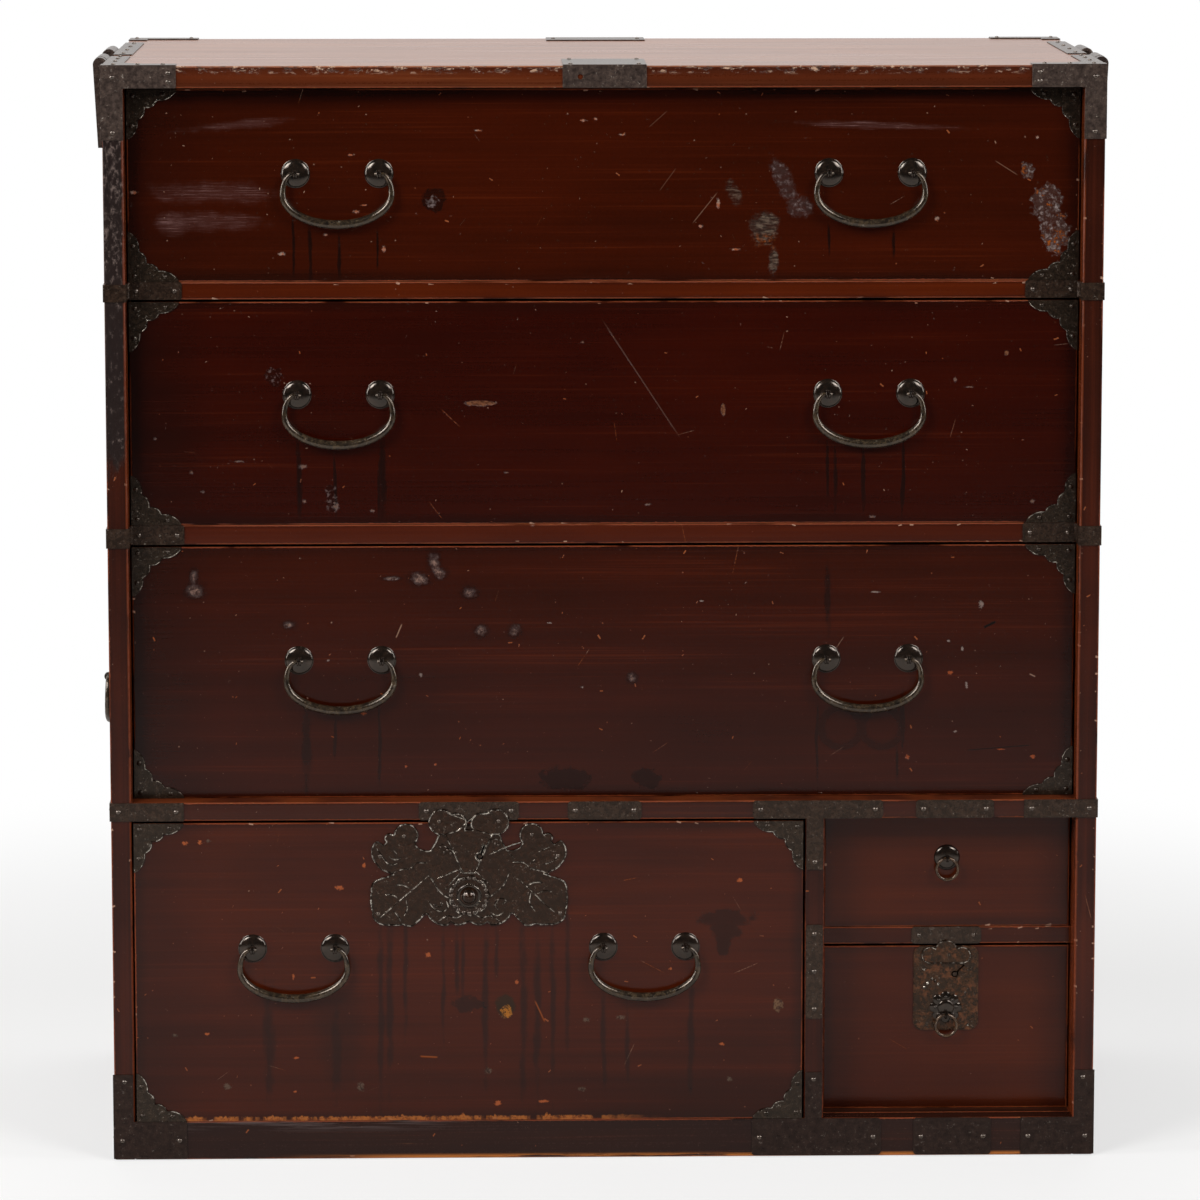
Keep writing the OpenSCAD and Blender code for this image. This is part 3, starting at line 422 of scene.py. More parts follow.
def scratch(finish, start, end, width=0.8):
    """A thin straight scratch on a front, from one place to another."""
    length = math.dist(start, end)
    way = ((end[0] - start[0]) / length, (end[1] - start[1]) / length)
    along = (finish.x - start[0]) * way[0] + (finish.z - start[1]) * way[1]
    off = abs((finish.x - start[0]) * way[1] - (finish.z - start[1]) * way[0])
    inside = along.rise(0, length * 0.15) * along.rise(length, length * 0.85)
    return off.rise(width, width * 0.3) * inside


def nearest_oval(finish, ovals, place=None):
    """How far a place is from the nearest of some ovals, each (x, z, half width, half height)."""
    nearest = None
    for x, z, half_w, half_h in ovals:
        reach = oval(finish, x, z, half_w, half_h, place=place)
        nearest = reach if nearest is None else nearest.low(reach)
    return nearest


def drips(finish, places, seed=0.0):
    """Dark lines where oil has run down a front. Each place is (x, top, bottom, width)."""
    wander = (finish.noise(60, 400, 50, detail=2, seed=seed) - 0.5) * 5
    bent_place = finish.node("ShaderNodeCombineXYZ", X=finish.x + wander, Z=finish.z)
    ovals = [(x, (top + bottom) / 2, width, (top - bottom) / 1.8) for x, top, bottom, width in places]
    swell = finish.noise(7, 400, 22, detail=4, rough=0.65, seed=seed + 1)
    return (nearest_oval(finish, ovals, bent_place) + (swell - 0.5) * 2).rise(1.3, 0.3)


def chips_at(finish, places, seed=0.0):
    """Small chips with torn edges. Each place is (x, z, half width, half height)."""
    ovals = [(x, z, half_w * 0.8, half_h * 0.7) for x, z, half_w, half_h in places]
    shred = finish.noise(2, 2, 2, detail=5, rough=0.75, seed=seed)
    return (nearest_oval(finish, ovals) + (shred - 0.5) * 4).rise(1.25, 0.6)


# %% [markdown]
# Small damage is scattered by a Voronoi texture. Each of its cells has a middle and a chance
# colour. Places are turned about the middle by a chance angle, so one long thin shape per cell
# gives scratches in all directions, and one short shape gives chips.

# %% Scattered chips and scratches


def scattered(finish, axes, spacing, length, width, share, seed=0.0, tilt=2 * math.pi):
    """Short strokes at chance places and angles on a face. Returns their mask and a chance number."""
    long_way = 4000
    sizes = [spacing if axis in axes else long_way for axis in "xyz"]
    cell = finish.cells(*sizes, seed=seed)
    middle = finish.node("ShaderNodeVectorMath", {"operation": "SCALE"}, Scale=spacing,
                         Vector=cell.other("Position"))
    middle = finish.node("ShaderNodeSeparateXYZ", Vector=middle)
    chance = finish.node("ShaderNodeSeparateColor", Color=cell.other("Color"))
    here = {"x": finish.x, "y": finish.y, "z": finish.z}
    across, up = [here[axis] - middle.other(axis.upper()) + seed * seed_steps[axis] * spacing
                  for axis in axes]
    angle = (chance.other("Green") - 0.5) * tilt
    cosine = finish.node("ShaderNodeMath", {"operation": "COSINE"}, sockets={0: angle})
    sine = finish.node("ShaderNodeMath", {"operation": "SINE"}, sockets={0: angle})
    along = abs(across * cosine + up * sine)
    off = abs(across * sine - up * cosine)
    size = chance.other("Blue") * chance.other("Blue") + 0.2
    stroke = (along / (size * length)).rise(1.0, 0.6) * (off / (size * width)).rise(1.0, 0.4)
    return stroke * chance.rise(1 - share, 1.001 - share), chance.other("Blue")


# %% [markdown]
# The colours are given as they look on the real chest, and turned into linear ones. The lacquer
# has three, from deep brown to where the wood glows through. The other colours are for what lies
# under it or on it: bare wood of two ages, scars, rust and dirt. The dirt colour also serves as
# painted shade.

# %% Colours of the wood
lacquer_dark = tone(38, 9, 2)
lacquer_mid = tone(58, 17, 4)
lacquer_light = tone(92, 34, 10)
orange_wood = tone(150, 76, 32)
bare_wood = tone(170, 96, 44)
pale_wood = tone(168, 128, 106)
grey_scar = tone(112, 98, 96)
rust_spot = tone(150, 74, 18)
dirt_and_shade = tone(14, 5, 3)
grain_sizes = {"x": (260, 30, 2.2), "z": (2.2, 30, 260)}
print("orange wood as a linear colour:", [round(c, 3) for c in orange_wood])

# %% [markdown]
# A Voronoi texture fills space with cells, and a face that cuts them at a slant would show long
# streaks. So the strokes of a face are held back wherever the surface doesn't face that way. The
# order of the layers is the order in which the real board aged.

# %% The lacquer of a board


def facing(finish, axes):
    """1 where the surface lies in the plane of two axes, 0 where it stands across it."""
    way = finish.node("ShaderNodeTexCoord", output="Normal")
    way = finish.node("ShaderNodeSeparateXYZ", Vector=way)
    across = next(axis for axis in "xyz" if axis not in axes)
    return abs(way.other(across.upper())).rise(0.75, 0.9)


def hurts(finish, axes, hurt, seed, frayed, grit):
    """Chips and cuts on one face: their masks and the tone of the chips."""
    here = facing(finish, axes)
    chips, kind = scattered(finish, axes, 41 / hurt, 2.4, 0.9, 0.4, seed=seed, tilt=3.0)
    chips = (chips + (frayed - 0.5) * 2.8 + (grit - 0.5) * 1.2).rise(0.55, 0.85)
    dots, dot_kind = scattered(finish, axes, 23 / hurt, 0.8, 0.7, 0.3, seed=seed + 3)
    chips = chips.high((dots + (frayed - 0.5)).rise(0.35, 0.7) * (dot_kind * 0.5 + 0.05)) * here
    cuts, cut_kind = scattered(finish, axes, 80 / hurt, 12, 0.45, 0.5, seed=seed + 7)
    return chips, kind, cuts * grit.rise(0.38, 0.55) * cut_kind * here


def lacquer(name, grain="x", dark=lacquer_dark, mid=lacquer_mid, light=lacquer_light, faces=("xz",),
            wear=1.0, edge_dark_reach=14, hurt=1.0, paleness=0.5, painted_end_shade=0.0, marks=None,
            seed=0.0, gloss=0.19):
    """The finish of one lacquered board. Marks is a function that adds what that board alone has."""
    finish = Finish("lacquer_" + name, IOR=1.5, Specular_IOR_Level=0.28)
    low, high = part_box(name)
    across, deep, up = grain_sizes[grain]
    band_across, band_up = (2, 12) if grain == "x" else (12, 2)
    streaks = finish.noise(across, deep, up, detail=6, rough=0.65, seed=seed)
    bands = finish.noise(across * band_across, deep, up * band_up, detail=3, seed=seed + 1)
    clouds = finish.noise(210, 170, 120, detail=3, seed=seed + 2)
    grit = finish.noise(1.6, 1.6, 1.6, detail=3, rough=0.7, seed=seed + 5)
    tone_here = (bands * 0.7 + clouds * 0.5 + streaks * 0.4 + grit * 0.25).rise(0.6, 1.28)
    colour = finish.mix(tone_here, dark, mid)
    colour = finish.mix((streaks + bands * 0.6).rise(0.86, 1.1) * 0.3, colour, light)

    edge = edge_distance(finish, low, high)
    frayed = finish.noise(4, 4, 4, detail=5, rough=0.75, seed=seed + 3)
    # Darker towards each board's edges, over a band as wide as the reach.
    colour = finish.mix((edge + (clouds - 0.5) * edge_dark_reach).rise(edge_dark_reach, 0) * 0.45, colour, dirt_and_shade)
    # Painted shade: the left end of a front is darkened, as where the recessed drawer lies in shade.
    if painted_end_shade:
        colour = finish.mix((finish.x - low.x * 1000 + clouds * 30).rise(105, 20) * painted_end_shade, colour, dirt_and_shade)
    where_worn = finish.noise(60, 60, 60, detail=3, seed=seed + 4)
    where_worn = where_worn.rise(0.6 - 0.25 * wear, 0.72 - 0.2 * wear)
    worn = (edge + (frayed - 0.5) * 2.6).rise(1.5 * wear, 0.5 * wear) * where_worn
    colour = finish.mix(worn * 0.8, colour, finish.mix(frayed.rise(0.5, 0.7), tone(120, 50, 16), bare_wood))

    rough = streaks * 0.08 + grit * 0.05 + worn * 0.3 + (gloss - 0.06)
    height = streaks * 0.16 + clouds * 0.25 - worn * 0.5
    for count, axes in enumerate(faces):
        chips, kind, cuts = hurts(finish, axes, hurt, seed + 0.37 * count, frayed, grit)
        chip_tone = finish.mix(kind.rise(paleness - 0.02, paleness + 0.02), pale_wood, orange_wood)
        colour = finish.mix(chips * 0.7, colour, chip_tone)
        colour = finish.mix(cuts * 0.4, colour, finish.mix(kind.rise(0.4, 0.6), orange_wood, pale_wood))
        rough = rough + chips * 0.25
        height = height - chips * 0.8 - cuts * 0.3
    rim_chips, rim_kind = scattered(finish, faces[0], 14, 3.4, 1.4, 0.4, seed=seed + 9, tilt=0.8)
    rim_chips = (rim_chips + (frayed - 0.5) * 1.2).rise(0.45, 0.65) * edge.rise(3.2, 2.2) * where_worn
    rim_tone = finish.mix(rim_kind.rise(0.4, 0.6), orange_wood, pale_wood)
    colour = finish.mix(rim_chips * 0.8, colour, rim_tone)
    rough = rough + rim_chips * 0.2
    height = height - rim_chips * 0.8
    if marks:
        colour, rough, height = marks(finish, colour, rough, height)
    return finish.done(colour, rough, height, depth=0.3)


# %% [markdown]
# ## Bare wood
# The backs, the runners and the insides of the drawers were never lacquered. They are softwood
# that has gone brown with age, with a plain grain of early and late wood.

# %% Bare old wood


def old_wood(name, along="x", ends_along="", seed=0.0):
    """Unlacquered softwood, with its grain along one axis, and along another on front and back faces."""
    finish = Finish("old_wood_" + name, IOR=1.45)
    sizes = {"x": (300, 6, 5), "y": (6, 300, 5)}
    rings = finish.noise(*sizes[along], detail=4, rough=0.5, seed=seed)
    fine = finish.noise(*[s / 4 for s in sizes[along]], detail=6, rough=0.7, seed=seed + 1)
    if ends_along:
        ends = facing(finish, "xz")
        end_rings = finish.noise(*sizes[ends_along], detail=4, rough=0.5, seed=seed)
        end_fine = finish.noise(*[s / 4 for s in sizes[ends_along]], detail=6, rough=0.7, seed=seed + 1)
        rings = rings + (end_rings - rings) * ends
        fine = fine + (end_fine - fine) * ends
    stains = finish.noise(120, 120, 90, detail=4, seed=seed + 2)
    colour = finish.mix(rings.rise(0.35, 0.65), tone(130, 92, 58), tone(160, 120, 80))
    colour = finish.mix(fine.rise(0.45, 0.75) * 0.5, colour, tone(92, 62, 40))
    colour = finish.mix(stains.rise(0.45, 0.75) * 0.7, colour, tone(70, 46, 30))
    return finish.done(colour, fine * 0.3 + 0.5, rings * 0.6 + fine * 0.6, depth=0.3)


# %% [markdown]
# ## Blackened iron
# The ironwork was blackened with lacquer or oil when it was hot. It is nearly black, with olive
# brown where hands and dusters have thinned the black, and rust on some plates. Hammer marks
# and pits break its highlights into small glints, and small bright spots painted into its colour
# add more glints. The black on it is a coating, so most of the finishes are only one third metal,
# and a high index of refraction gives the coating its glints. The burrs of the relief are rubbed
# bare, so they are nearly all metal.

# %% Iron


def iron(name, dark=tone(34, 29, 27), worn=tone(60, 52, 48), rust=0.0, shine=0.3, dents=1.0,
         metal=0.3, gleam=1.55, level=0.5, bare=(0.34, 0.72), painted_glints=0.5, patches=18, seed=0.0):
    """Old blackened iron. Rust goes from 0, none, to 1, all over. Bare is where the black is thin."""
    finish = Finish("iron_" + name, IOR=gleam, Specular_IOR_Level=level, Specular_Tint=(1.0, 0.88, 0.78, 1))
    hammered = finish.noise(7, 7, 7, detail=2, rough=0.5, seed=seed)
    mottle = finish.noise(4, 4, 4, detail=8, rough=0.75, seed=seed + 1)
    specks = finish.noise(0.8, 0.8, 0.8, detail=4, rough=0.7, seed=seed + 2)
    glint_noise = finish.noise(2.2, 2.2, 2.2, detail=4, rough=0.8, seed=seed + 4)
    colour = finish.mix((mottle + (hammered - 0.5) * 0.3).rise(*bare), dark, worn)
    colour = finish.mix(specks.rise(0.58, 0.8) * 0.5, colour, tone(124, 108, 92))
    # Painted glints: small bright spots in the colour stand in for highlights on the iron.
    patchy_mask = (glint_noise + (hammered - 0.5) * 0.3).rise(0.62, 0.74)
    colour = finish.mix(patchy_mask * painted_glints, colour, tone(178, 168, 156))
    spread = finish.noise(patches, patches, patches, detail=6, rough=0.7, seed=seed + 3) + mottle * 0.5
    rusty = spread.rise(1.1 - 0.55 * rust, 1.3 - 0.55 * rust)
    rust_tone = finish.mix(specks.rise(0.4, 0.6), tone(74, 36, 18), tone(118, 66, 30))
    colour = finish.mix(rusty * 0.85, colour, rust_tone)
    rough = mottle * 0.16 + specks * 0.1 + rusty * 0.3 + (shine - 0.13)
    height = hammered * (0.9 * dents) + mottle * (0.35 * dents) + specks * 0.22 + rusty * specks * 0.4
    return finish.done(colour, rough, height, depth=0.25, metal=rusty * -0.3 + metal)


iron_black = iron("black", dark=tone(27, 19, 13), worn=tone(52, 39, 29), shine=0.22, painted_glints=0.8, seed=1)
iron_brown = iron("brown", dark=tone(33, 22, 16), worn=tone(60, 43, 33), rust=0.2, shine=0.24, painted_glints=0.6,
                  seed=2)
iron_top = iron("top", dark=tone(44, 35, 32), worn=tone(82, 68, 61), rust=0.2, shine=0.3, dents=1.0,
                metal=0.15, level=0.3, painted_glints=0.7, seed=7)
iron_base = iron("base", dark=tone(30, 20, 18), worn=tone(50, 36, 31), rust=0.2, shine=0.3, dents=0.8,
                 metal=0.15, level=0.22, painted_glints=0.35, seed=11)
iron_rusty = iron("rusty", dark=tone(32, 19, 10), worn=tone(68, 41, 21), rust=0.66, shine=0.26, painted_glints=0.4,
                  patches=7, seed=3)
iron_smooth = iron("smooth", dark=tone(16, 11, 8), worn=tone(44, 31, 23), shine=0.12, dents=0.15,
                   gleam=1.85, painted_glints=0.1, seed=4)
iron_nail = iron("nail", dark=tone(44, 35, 30), worn=tone(84, 70, 60), shine=0.16, dents=0.2, gleam=2.0,
                 seed=8)
iron_leaf = iron("leaf", dark=tone(29, 15, 7), worn=tone(52, 30, 18), rust=0.3, shine=0.14, dents=1.3,
                 gleam=1.5, painted_glints=0.6, seed=5)
iron_grip = iron("grip", dark=tone(24, 18, 14), worn=tone(78, 63, 46), shine=0.16, dents=0.3, gleam=1.8,
                 seed=6)
iron_ring = iron("ring", dark=tone(40, 27, 19), worn=tone(96, 70, 48), shine=0.16, dents=0.2, gleam=1.8,
                 seed=10)
iron_relief = iron("relief", dark=tone(44, 31, 23), worn=tone(222, 212, 198), shine=0.17, dents=0.1,
                   metal=0.85, gleam=2.0, bare=(0.46, 0.62), painted_glints=0.2, seed=9)
print("iron finishes:", sum(name.startswith("iron_") for name in bpy.data.materials.keys()))

# %% [markdown]
# ## Marks that one board alone has
# Chance wear makes any old board, but a real one is known by its own scars. So each front has a
# function with the marks that the photograph shows, at their places in millimetres: x to the
# right of the middle and z up from the floor. The marks lie over the lacquer in the order in
# which they came: rubbing, dirty oil, then chips.

# %% Marks of the two upper drawers


def marks_of_drawer_1(finish, colour, rough, height):
    """Scuffs, a knot, drips under the handles, three rubbed patches and small chips."""
    hair = finish.noise(46, 46, 1.1, detail=6, rough=0.8, seed=31).rise(0.5, 0.68)
    for place, turn in (((-335, 959, 56, 6), 5), ((-352, 897, 68, 13), -2), ((-356, 872, 58, 10), -3),
                        ((-392, 868, 20, 12), 0), ((250, 958, 90, 4), -2)):
        scuff = blot(finish, *place, ragged=0.4, size=30, seed=place[0], core=0.1, turn=turn)
        colour = finish.mix(scuff * (hair * 0.5 + 0.05), colour, tone(160, 122, 118))
    knot = blot(finish, -155, 891, 12, 11, ragged=0.35, seed=32)
    knot_eye = blot(finish, -156, 889, 5.5, 5, ragged=0.9, size=5, seed=33)
    colour = finish.mix(knot * 0.65, colour, dirt_and_shade)
    lumps = finish.noise(5, 5, 5, detail=7, rough=0.75, seed=36)
    colour = finish.mix(knot_eye * lumps.rise(0.42, 0.62) * 0.8, colour, grey_scar)
    oil = drips(finish, (
        (-283, 881, 816, 1.6), (-268, 869, 816, 2.0), (-242, 860, 816, 1.8), (-207, 862, 830, 1.4),
        (205, 868, 838, 1.4), (264, 866, 836, 1.8)), seed=34)
    colour = finish.mix(oil * 0.8, colour, dirt_and_shade)
    worn_thin = finish.noise(9, 9, 3, detail=6, rough=0.75, seed=45).rise(0.36, 0.6)
    scars = blot(finish, 164, 908, 10, 24, ragged=0.45, size=14, seed=37, core=0.5, turn=24)
    scars = scars.high(blot(finish, 179, 884, 12, 10, ragged=0.5, size=14, seed=38, core=0.5))
    scar_tone = finish.mix(lumps.rise(0.48, 0.68), tone(50, 32, 28), tone(124, 110, 108))
    colour = finish.mix(scars * (worn_thin * 0.6 + 0.2), colour, scar_tone)
    silver = blot(finish, 404, 886, 14, 18, ragged=0.45, seed=39)
    silver = silver.high(blot(finish, 412, 862, 13, 20, seed=40))
    silver = silver.high(blot(finish, 386, 916, 6, 6, ragged=0.8, seed=41))
    silver_tone = finish.mix(lumps.rise(0.48, 0.66), tone(62, 40, 34), tone(150, 136, 132))
    colour = finish.mix(silver * (worn_thin * 0.6 + 0.3), colour, silver_tone)
    rust_rim = silver * finish.noise(11, 11, 11, detail=3, seed=46).rise(0.52, 0.6) * lumps.rise(0.5, 0.42)
    colour = finish.mix(rust_rim * 0.9, colour, rust_spot)
    burn = blot(finish, 146, 864, 15, 17, ragged=0.45, size=12, seed=42, core=0.5)
    burn = burn.high(blot(finish, 155, 834, 5, 16, ragged=0.5, seed=43, core=0.5))
    burn = burn.high(blot(finish, 118, 896, 7, 13, ragged=0.6, seed=44, core=0.4, turn=20) * 0.7)
    fibres = finish.noise(12, 12, 2.4, detail=6, rough=0.75, seed=48)
    burn_tone = finish.mix(fibres.rise(0.46, 0.66), tone(32, 20, 13), tone(110, 94, 80))
    colour = finish.mix(burn * (worn_thin * 0.4 + 0.5), colour, burn_tone)
    embers = burn * finish.z.rise(862, 850) * finish.z.rise(842, 850) * lumps.rise(0.48, 0.56)
    colour = finish.mix(embers * 0.8, colour, rust_spot)
    lines = scratch(finish, (80, 868), (104, 898), 0.6)
    lines = lines.high(scratch(finish, (50, 898), (66, 920), 0.5) * 0.5)
    lines = lines.high(scratch(finish, (356, 926), (378, 912), 0.6))
    lines = lines.high(scratch(finish, (40, 956), (58, 972), 0.5) * 0.5)
    colour = finish.mix(lines * 0.25, colour, pale_wood)
    spots = chips_at(finish, (
        (-428, 898, 4, 2), (-254, 859, 2, 1.4), (-231, 932, 2.4, 1.2), (-219, 886, 3, 1),
        (-226, 880, 3, 2), (-201, 846, 2, 3), (-294, 842, 3, 2.4), (-115, 954, 3.4, 1.2),
        (-19, 963, 3, 1.4), (-8, 964, 2, 1.4), (104, 887, 1.6, 6), (88, 866, 2, 2), (16, 950, 3, 1),
        (304, 873, 2.4, 2.4), (120, 845, 5, 1.2), (395, 947, 1.6, 1.6)), seed=47)
    spot_tone = finish.mix(lumps.rise(0.44, 0.56), tone(178, 96, 60), tone(170, 138, 122))
    colour = finish.mix(spots * 0.6, colour, spot_tone)
    rough = rough + (scars + burn) * 0.12 - silver * 0.04
    return colour, rough, height - (scars + silver + burn) * lumps * 1.4 - spots * 0.8


def marks_of_drawer_2(finish, colour, rough, height):
    """One long scratch, a chip in the middle, small chips and drips under both handles."""
    oil = drips(finish, (
        (-279.5, 669, 600, 2.6), (-247, 664, 604, 1.6), (-203, 674, 598, 3.8), (-207, 640, 598, 1.4),
        (205, 664, 606, 1.6), (212, 660, 606, 1.8), (238, 664, 610, 2.2),
        (275, 671, 596, 1.8)), seed=51)
    colour = finish.mix(oil * 0.75, colour, dirt_and_shade)
    lines = scratch(finish, (-4, 784), (72, 668), 0.7)
    colour = finish.mix(lines * 0.09, colour, pale_wood)
    chip = blot(finish, -114, 704, 14, 2.6, ragged=0.5, size=6, seed=53)
    chip = chip.high(blot(finish, 109, 698, 2, 6, ragged=0.5, size=5, seed=54))
    chip = chip.high(blot(finish, 369, 749, 2.4, 2.4, ragged=0.5, size=4, seed=55))
    chip_grain = finish.noise(4, 4, 1.5, detail=4, rough=0.7, seed=58).rise(0.4, 0.56)
    colour = finish.mix(chip * (chip_grain * 0.6 + 0.15), colour, tone(122, 78, 54))
    dark_spot = blot(finish, -302, 728, 8, 10, ragged=0.7, seed=56)
    dark_spot = dark_spot.high(blot(finish, -250, 617, 6, 12, seed=57))
    spot_wear = finish.noise(3, 3, 3, detail=4, seed=59).rise(0.52, 0.66)
    colour = finish.mix(dark_spot * 0.4, colour, finish.mix(spot_wear, dirt_and_shade, grey_scar))
    spots = chips_at(finish, (
        (-276, 646, 4, 2.6), (-275, 614, 1.6, 1.6), (-246, 609, 3, 5), (-213, 605, 2, 1.6),
        (-334, 651, 6, 1), (-378, 641, 2, 2), (-411, 672, 1.4, 1.4), (-368, 623, 1.8, 1.8),
        (322, 725, 1.6, 2.6), (335, 718, 4, 1), (394, 612, 2, 2), (247, 598, 3, 1.6),
        (-20, 760, 1.4, 1.4), (40, 610, 3, 1.2), (-90, 640, 2, 1)), seed=60)
    colour = finish.mix(spots * 0.4, colour, finish.mix(chip_grain, grey_scar, tone(150, 112, 94)))
    return colour, rough, height - (chip + spots) * 1.2 - lines * 0.5


# %% [markdown]
# Drawer 3 has dents with a dark halo where something struck it, and two rings under the right
# handle. Drawer 4 is the lowest, at knee height: oil from its handles and from the leaf plate
# has run to its foot, and its lower edge is worn to bare wood by feet and brooms.

# %% Marks of the two lower wide drawers


def marks_of_drawer_3(finish, colour, rough, height):
    """Dents with dark halos, two rings, drips, one long drip from above and two ghost marks."""
    reach = nearest_oval(finish, (
        (-376, 531, 8, 8), (-377, 542, 4, 10), (-156, 556, 6, 11), (-151, 547, 7, 6),
        (-170, 541, 10, 6), (-124, 529, 7, 6), (-113, 493, 6, 6), (-82, 493, 6, 6), (-290, 499, 6, 4),
        (26, 448, 5, 5), (-196, 542, 9, 2)))
    shred = finish.noise(9, 9, 9, detail=6, rough=0.75, seed=61) - 0.5
    halo = (reach + shred * 1.6).rise(1.7, 0.7)
    scars = (reach + shred * 2.6).rise(1.0, 0.2)
    patchy_mask = finish.noise(4, 4, 4, detail=6, rough=0.75, seed=69).rise(0.42, 0.6)
    cores = (reach + shred * 3.0).rise(0.55, 0.1) * patchy_mask
    colour = finish.mix(halo * 0.45, colour, dirt_and_shade)
    colour = finish.mix(scars * (patchy_mask * 0.4 + 0.1), colour, tone(112, 92, 88))
    colour = finish.mix(cores * 0.4, colour, tone(168, 132, 114))
    rings = None
    for middle_x in (219, 257):
        reach = ((finish.x - middle_x) ** 2 + (finish.z - 401) ** 2) ** 0.5
        ring = reach.rise(24, 20) * reach.rise(12, 17)
        rings = ring if rings is None else rings.high(ring)
    oil = drips(finish, (
        (-275, 426, 350, 5), (-207.5, 426, 345, 2), (-249, 408, 376, 2), (197, 428, 350, 1.8),
        (276, 436, 378, 3), (271, 384, 350, 2), (206, 552, 495, 3.6)), seed=65)
    ghosts = blot(finish, -36, 354, 24, 12, seed=67).high(blot(finish, 40, 354, 14, 10, seed=68))
    burnt = scratch(finish, (350, 494), (362, 500), 1.6)
    burnt = burnt.high(scratch(finish, (332, 379), (398, 384), 0.8) * 0.7)
    colour = finish.mix((rings * 0.4).high(oil * 0.6).high(burnt).high(ghosts * 0.6), colour, dirt_and_shade)
    lines = scratch(finish, (393, 451), (399, 448)).high(scratch(finish, (-186, 500), (-192, 486)))
    colour = finish.mix(lines * 0.5, colour, pale_wood)
    amber = chips_at(finish, (
        (320, 452, 3.2, 2.6), (281, 373, 2.4, 2.6), (397, 373, 2.8, 2.4), (367, 380, 4, 0.8),
        (-222, 416, 3.4, 2.4), (-183, 366, 1.4, 1.4), (-156, 368, 1.4, 1.4)), seed=70)
    colour = finish.mix(amber * 0.7, colour, tone(160, 76, 38))
    pale = chips_at(finish, (
        (348, 516, 2.6, 4), (318, 482, 1.6, 1.6), (335, 440, 1.4, 4), (331, 474, 1.2, 3),
        (325, 397, 2, 1.2), (-254, 466, 1.6, 1.6), (-169, 452, 1.8, 2.4), (-50, 500, 3, 1),
        (250, 528, 6, 1), (90, 520, 2, 1), (-20, 440, 1.4, 1.4)), seed=84)
    colour = finish.mix(pale * 0.45, colour, tone(164, 142, 132))
    return colour, rough + ghosts * 0.1, height - (scars + amber + pale) * 1.0 - lines * 0.5


def marks_of_drawer_4(finish, colour, rough, height):
    """Many drips under the leaf plate and the handles, a dark stain and two rust spots."""
    oil = drips(finish, (
        (-311, 156, 46, 6), (-248, 158, 40, 6.5), (-207, 224, 56, 3.4), (-199, 220, 62, 4),
        (-184, 224, 118, 2.4), (-149.5, 218, 110, 2.2), (-136.6, 218, 150, 2.4), (-131, 220, 158, 2),
        (-110, 224, 60, 3.4), (-100, 220, 170, 2.4), (-75, 224, 40, 3.8), (-62, 220, 48, 3.8),
        (-48, 220, 56, 2.8), (-34, 224, 112, 2.6), (-1, 156, 60, 3), (21, 148, 48, 2.6),
        (80, 158, 56, 3.6)), seed=71)
    shade = blot(finish, -247, 110, 34, 90, ragged=0.2, size=60, seed=81, core=0.2)
    foot_shade = finish.z.rise(170, 44) * 0.22
    colour = finish.mix((oil * 0.62).high(shade * 0.35).high(foot_shade), colour, tone(22, 13, 10))
    stain = blot(finish, 112, 227, 27, 8, ragged=0.5, seed=74).high(blot(finish, 112, 215, 15, 11, seed=75))
    stain = stain.high(blot(finish, 109, 202, 7, 12, ragged=0.6, seed=83))
    smudge = blot(finish, -126, 146, 16, 7, ragged=0.6, seed=76)
    colour = finish.mix((stain * 0.6).high(smudge * 0.6), colour, tone(20, 13, 10))
    spot_rim = blot(finish, -92, 144, 10, 12, ragged=0.3, seed=77)
    spot = blot(finish, -91, 139, 6, 6, ragged=0.5, size=5, seed=78)
    scar = blot(finish, 161, 144, 5, 7, ragged=0.4, size=5, seed=79)
    colour = finish.mix(spot_rim * 0.75, colour, tone(34, 28, 16))
    spot_grain = finish.noise(3, 3, 3, detail=5, rough=0.75, seed=82).rise(0.4, 0.55)
    colour = finish.mix(spot * spot_grain * 0.85, colour, tone(170, 104, 28))
    colour = finish.mix(scar * 0.6, colour, finish.mix(spot_grain, tone(52, 34, 24), tone(120, 92, 66)))
    lines = scratch(finish, (-65, 150), (-55, 128), 1.0).high(scratch(finish, (-172, 97), (-154, 96), 1.2))
    colour = finish.mix(lines * 0.6, colour, orange_wood)
    amber = chips_at(finish, (
        (-387, 299, 3, 2.4), (-373, 300, 2.4, 2.4), (-222, 278, 1.6, 2.6), (-245, 257, 5, 2.6),
        (-163, 193, 2.6, 3), (-288, 173, 1.4, 3.4), (-286, 96, 2.6, 1.6), (-368, 119, 3, 1.6),
        (-287, 64, 1.6, 1.4), (125, 262, 3.4, 2.6), (-81, 167, 1.8, 2.6), (109, 107, 3, 1.8),
        (61, 179, 1.8, 1.8), (-57, 53.5, 5, 1.6), (-99, 52, 3.4, 3)), seed=85)
    colour = finish.mix(amber * 0.75, colour, tone(166, 84, 42))
    dull = chips_at(finish, (
        (-365, 301, 3, 2), (-350, 69, 4, 4.4), (-226, 68, 4, 6), (-398, 118, 3.4, 2),
        (15, 133, 5, 2.6), (-17, 131, 3.6, 3.6), (116, 74, 3, 3), (-21, 65, 4, 2.6),
        (-108, 83, 4.4, 4)), seed=86)
    colour = finish.mix(dull * 0.6, colour, finish.mix(spot_grain, tone(34, 28, 22), tone(96, 80, 66)))
    bitten = finish.noise(15, 15, 400, detail=4, seed=80)
    bumps = bitten.rise(0.56, 0.8) * 9 + spot_grain * 1.2
    strip = (finish.z - bumps).rise(39.9, 38.2) * finish.x.rise(60, -30) * bitten.rise(0.4, 0.5)
    colour = finish.mix(strip * 0.75, colour, finish.mix(spot_grain, tone(120, 58, 24), tone(170, 98, 42)))
    return colour, rough + stain * 0.1, height - spot * 0.8 - lines * 0.6


print("nodes in the finishes so far:", sum(len(m.node_tree.nodes)
                                           for m in bpy.data.materials if m.use_nodes))
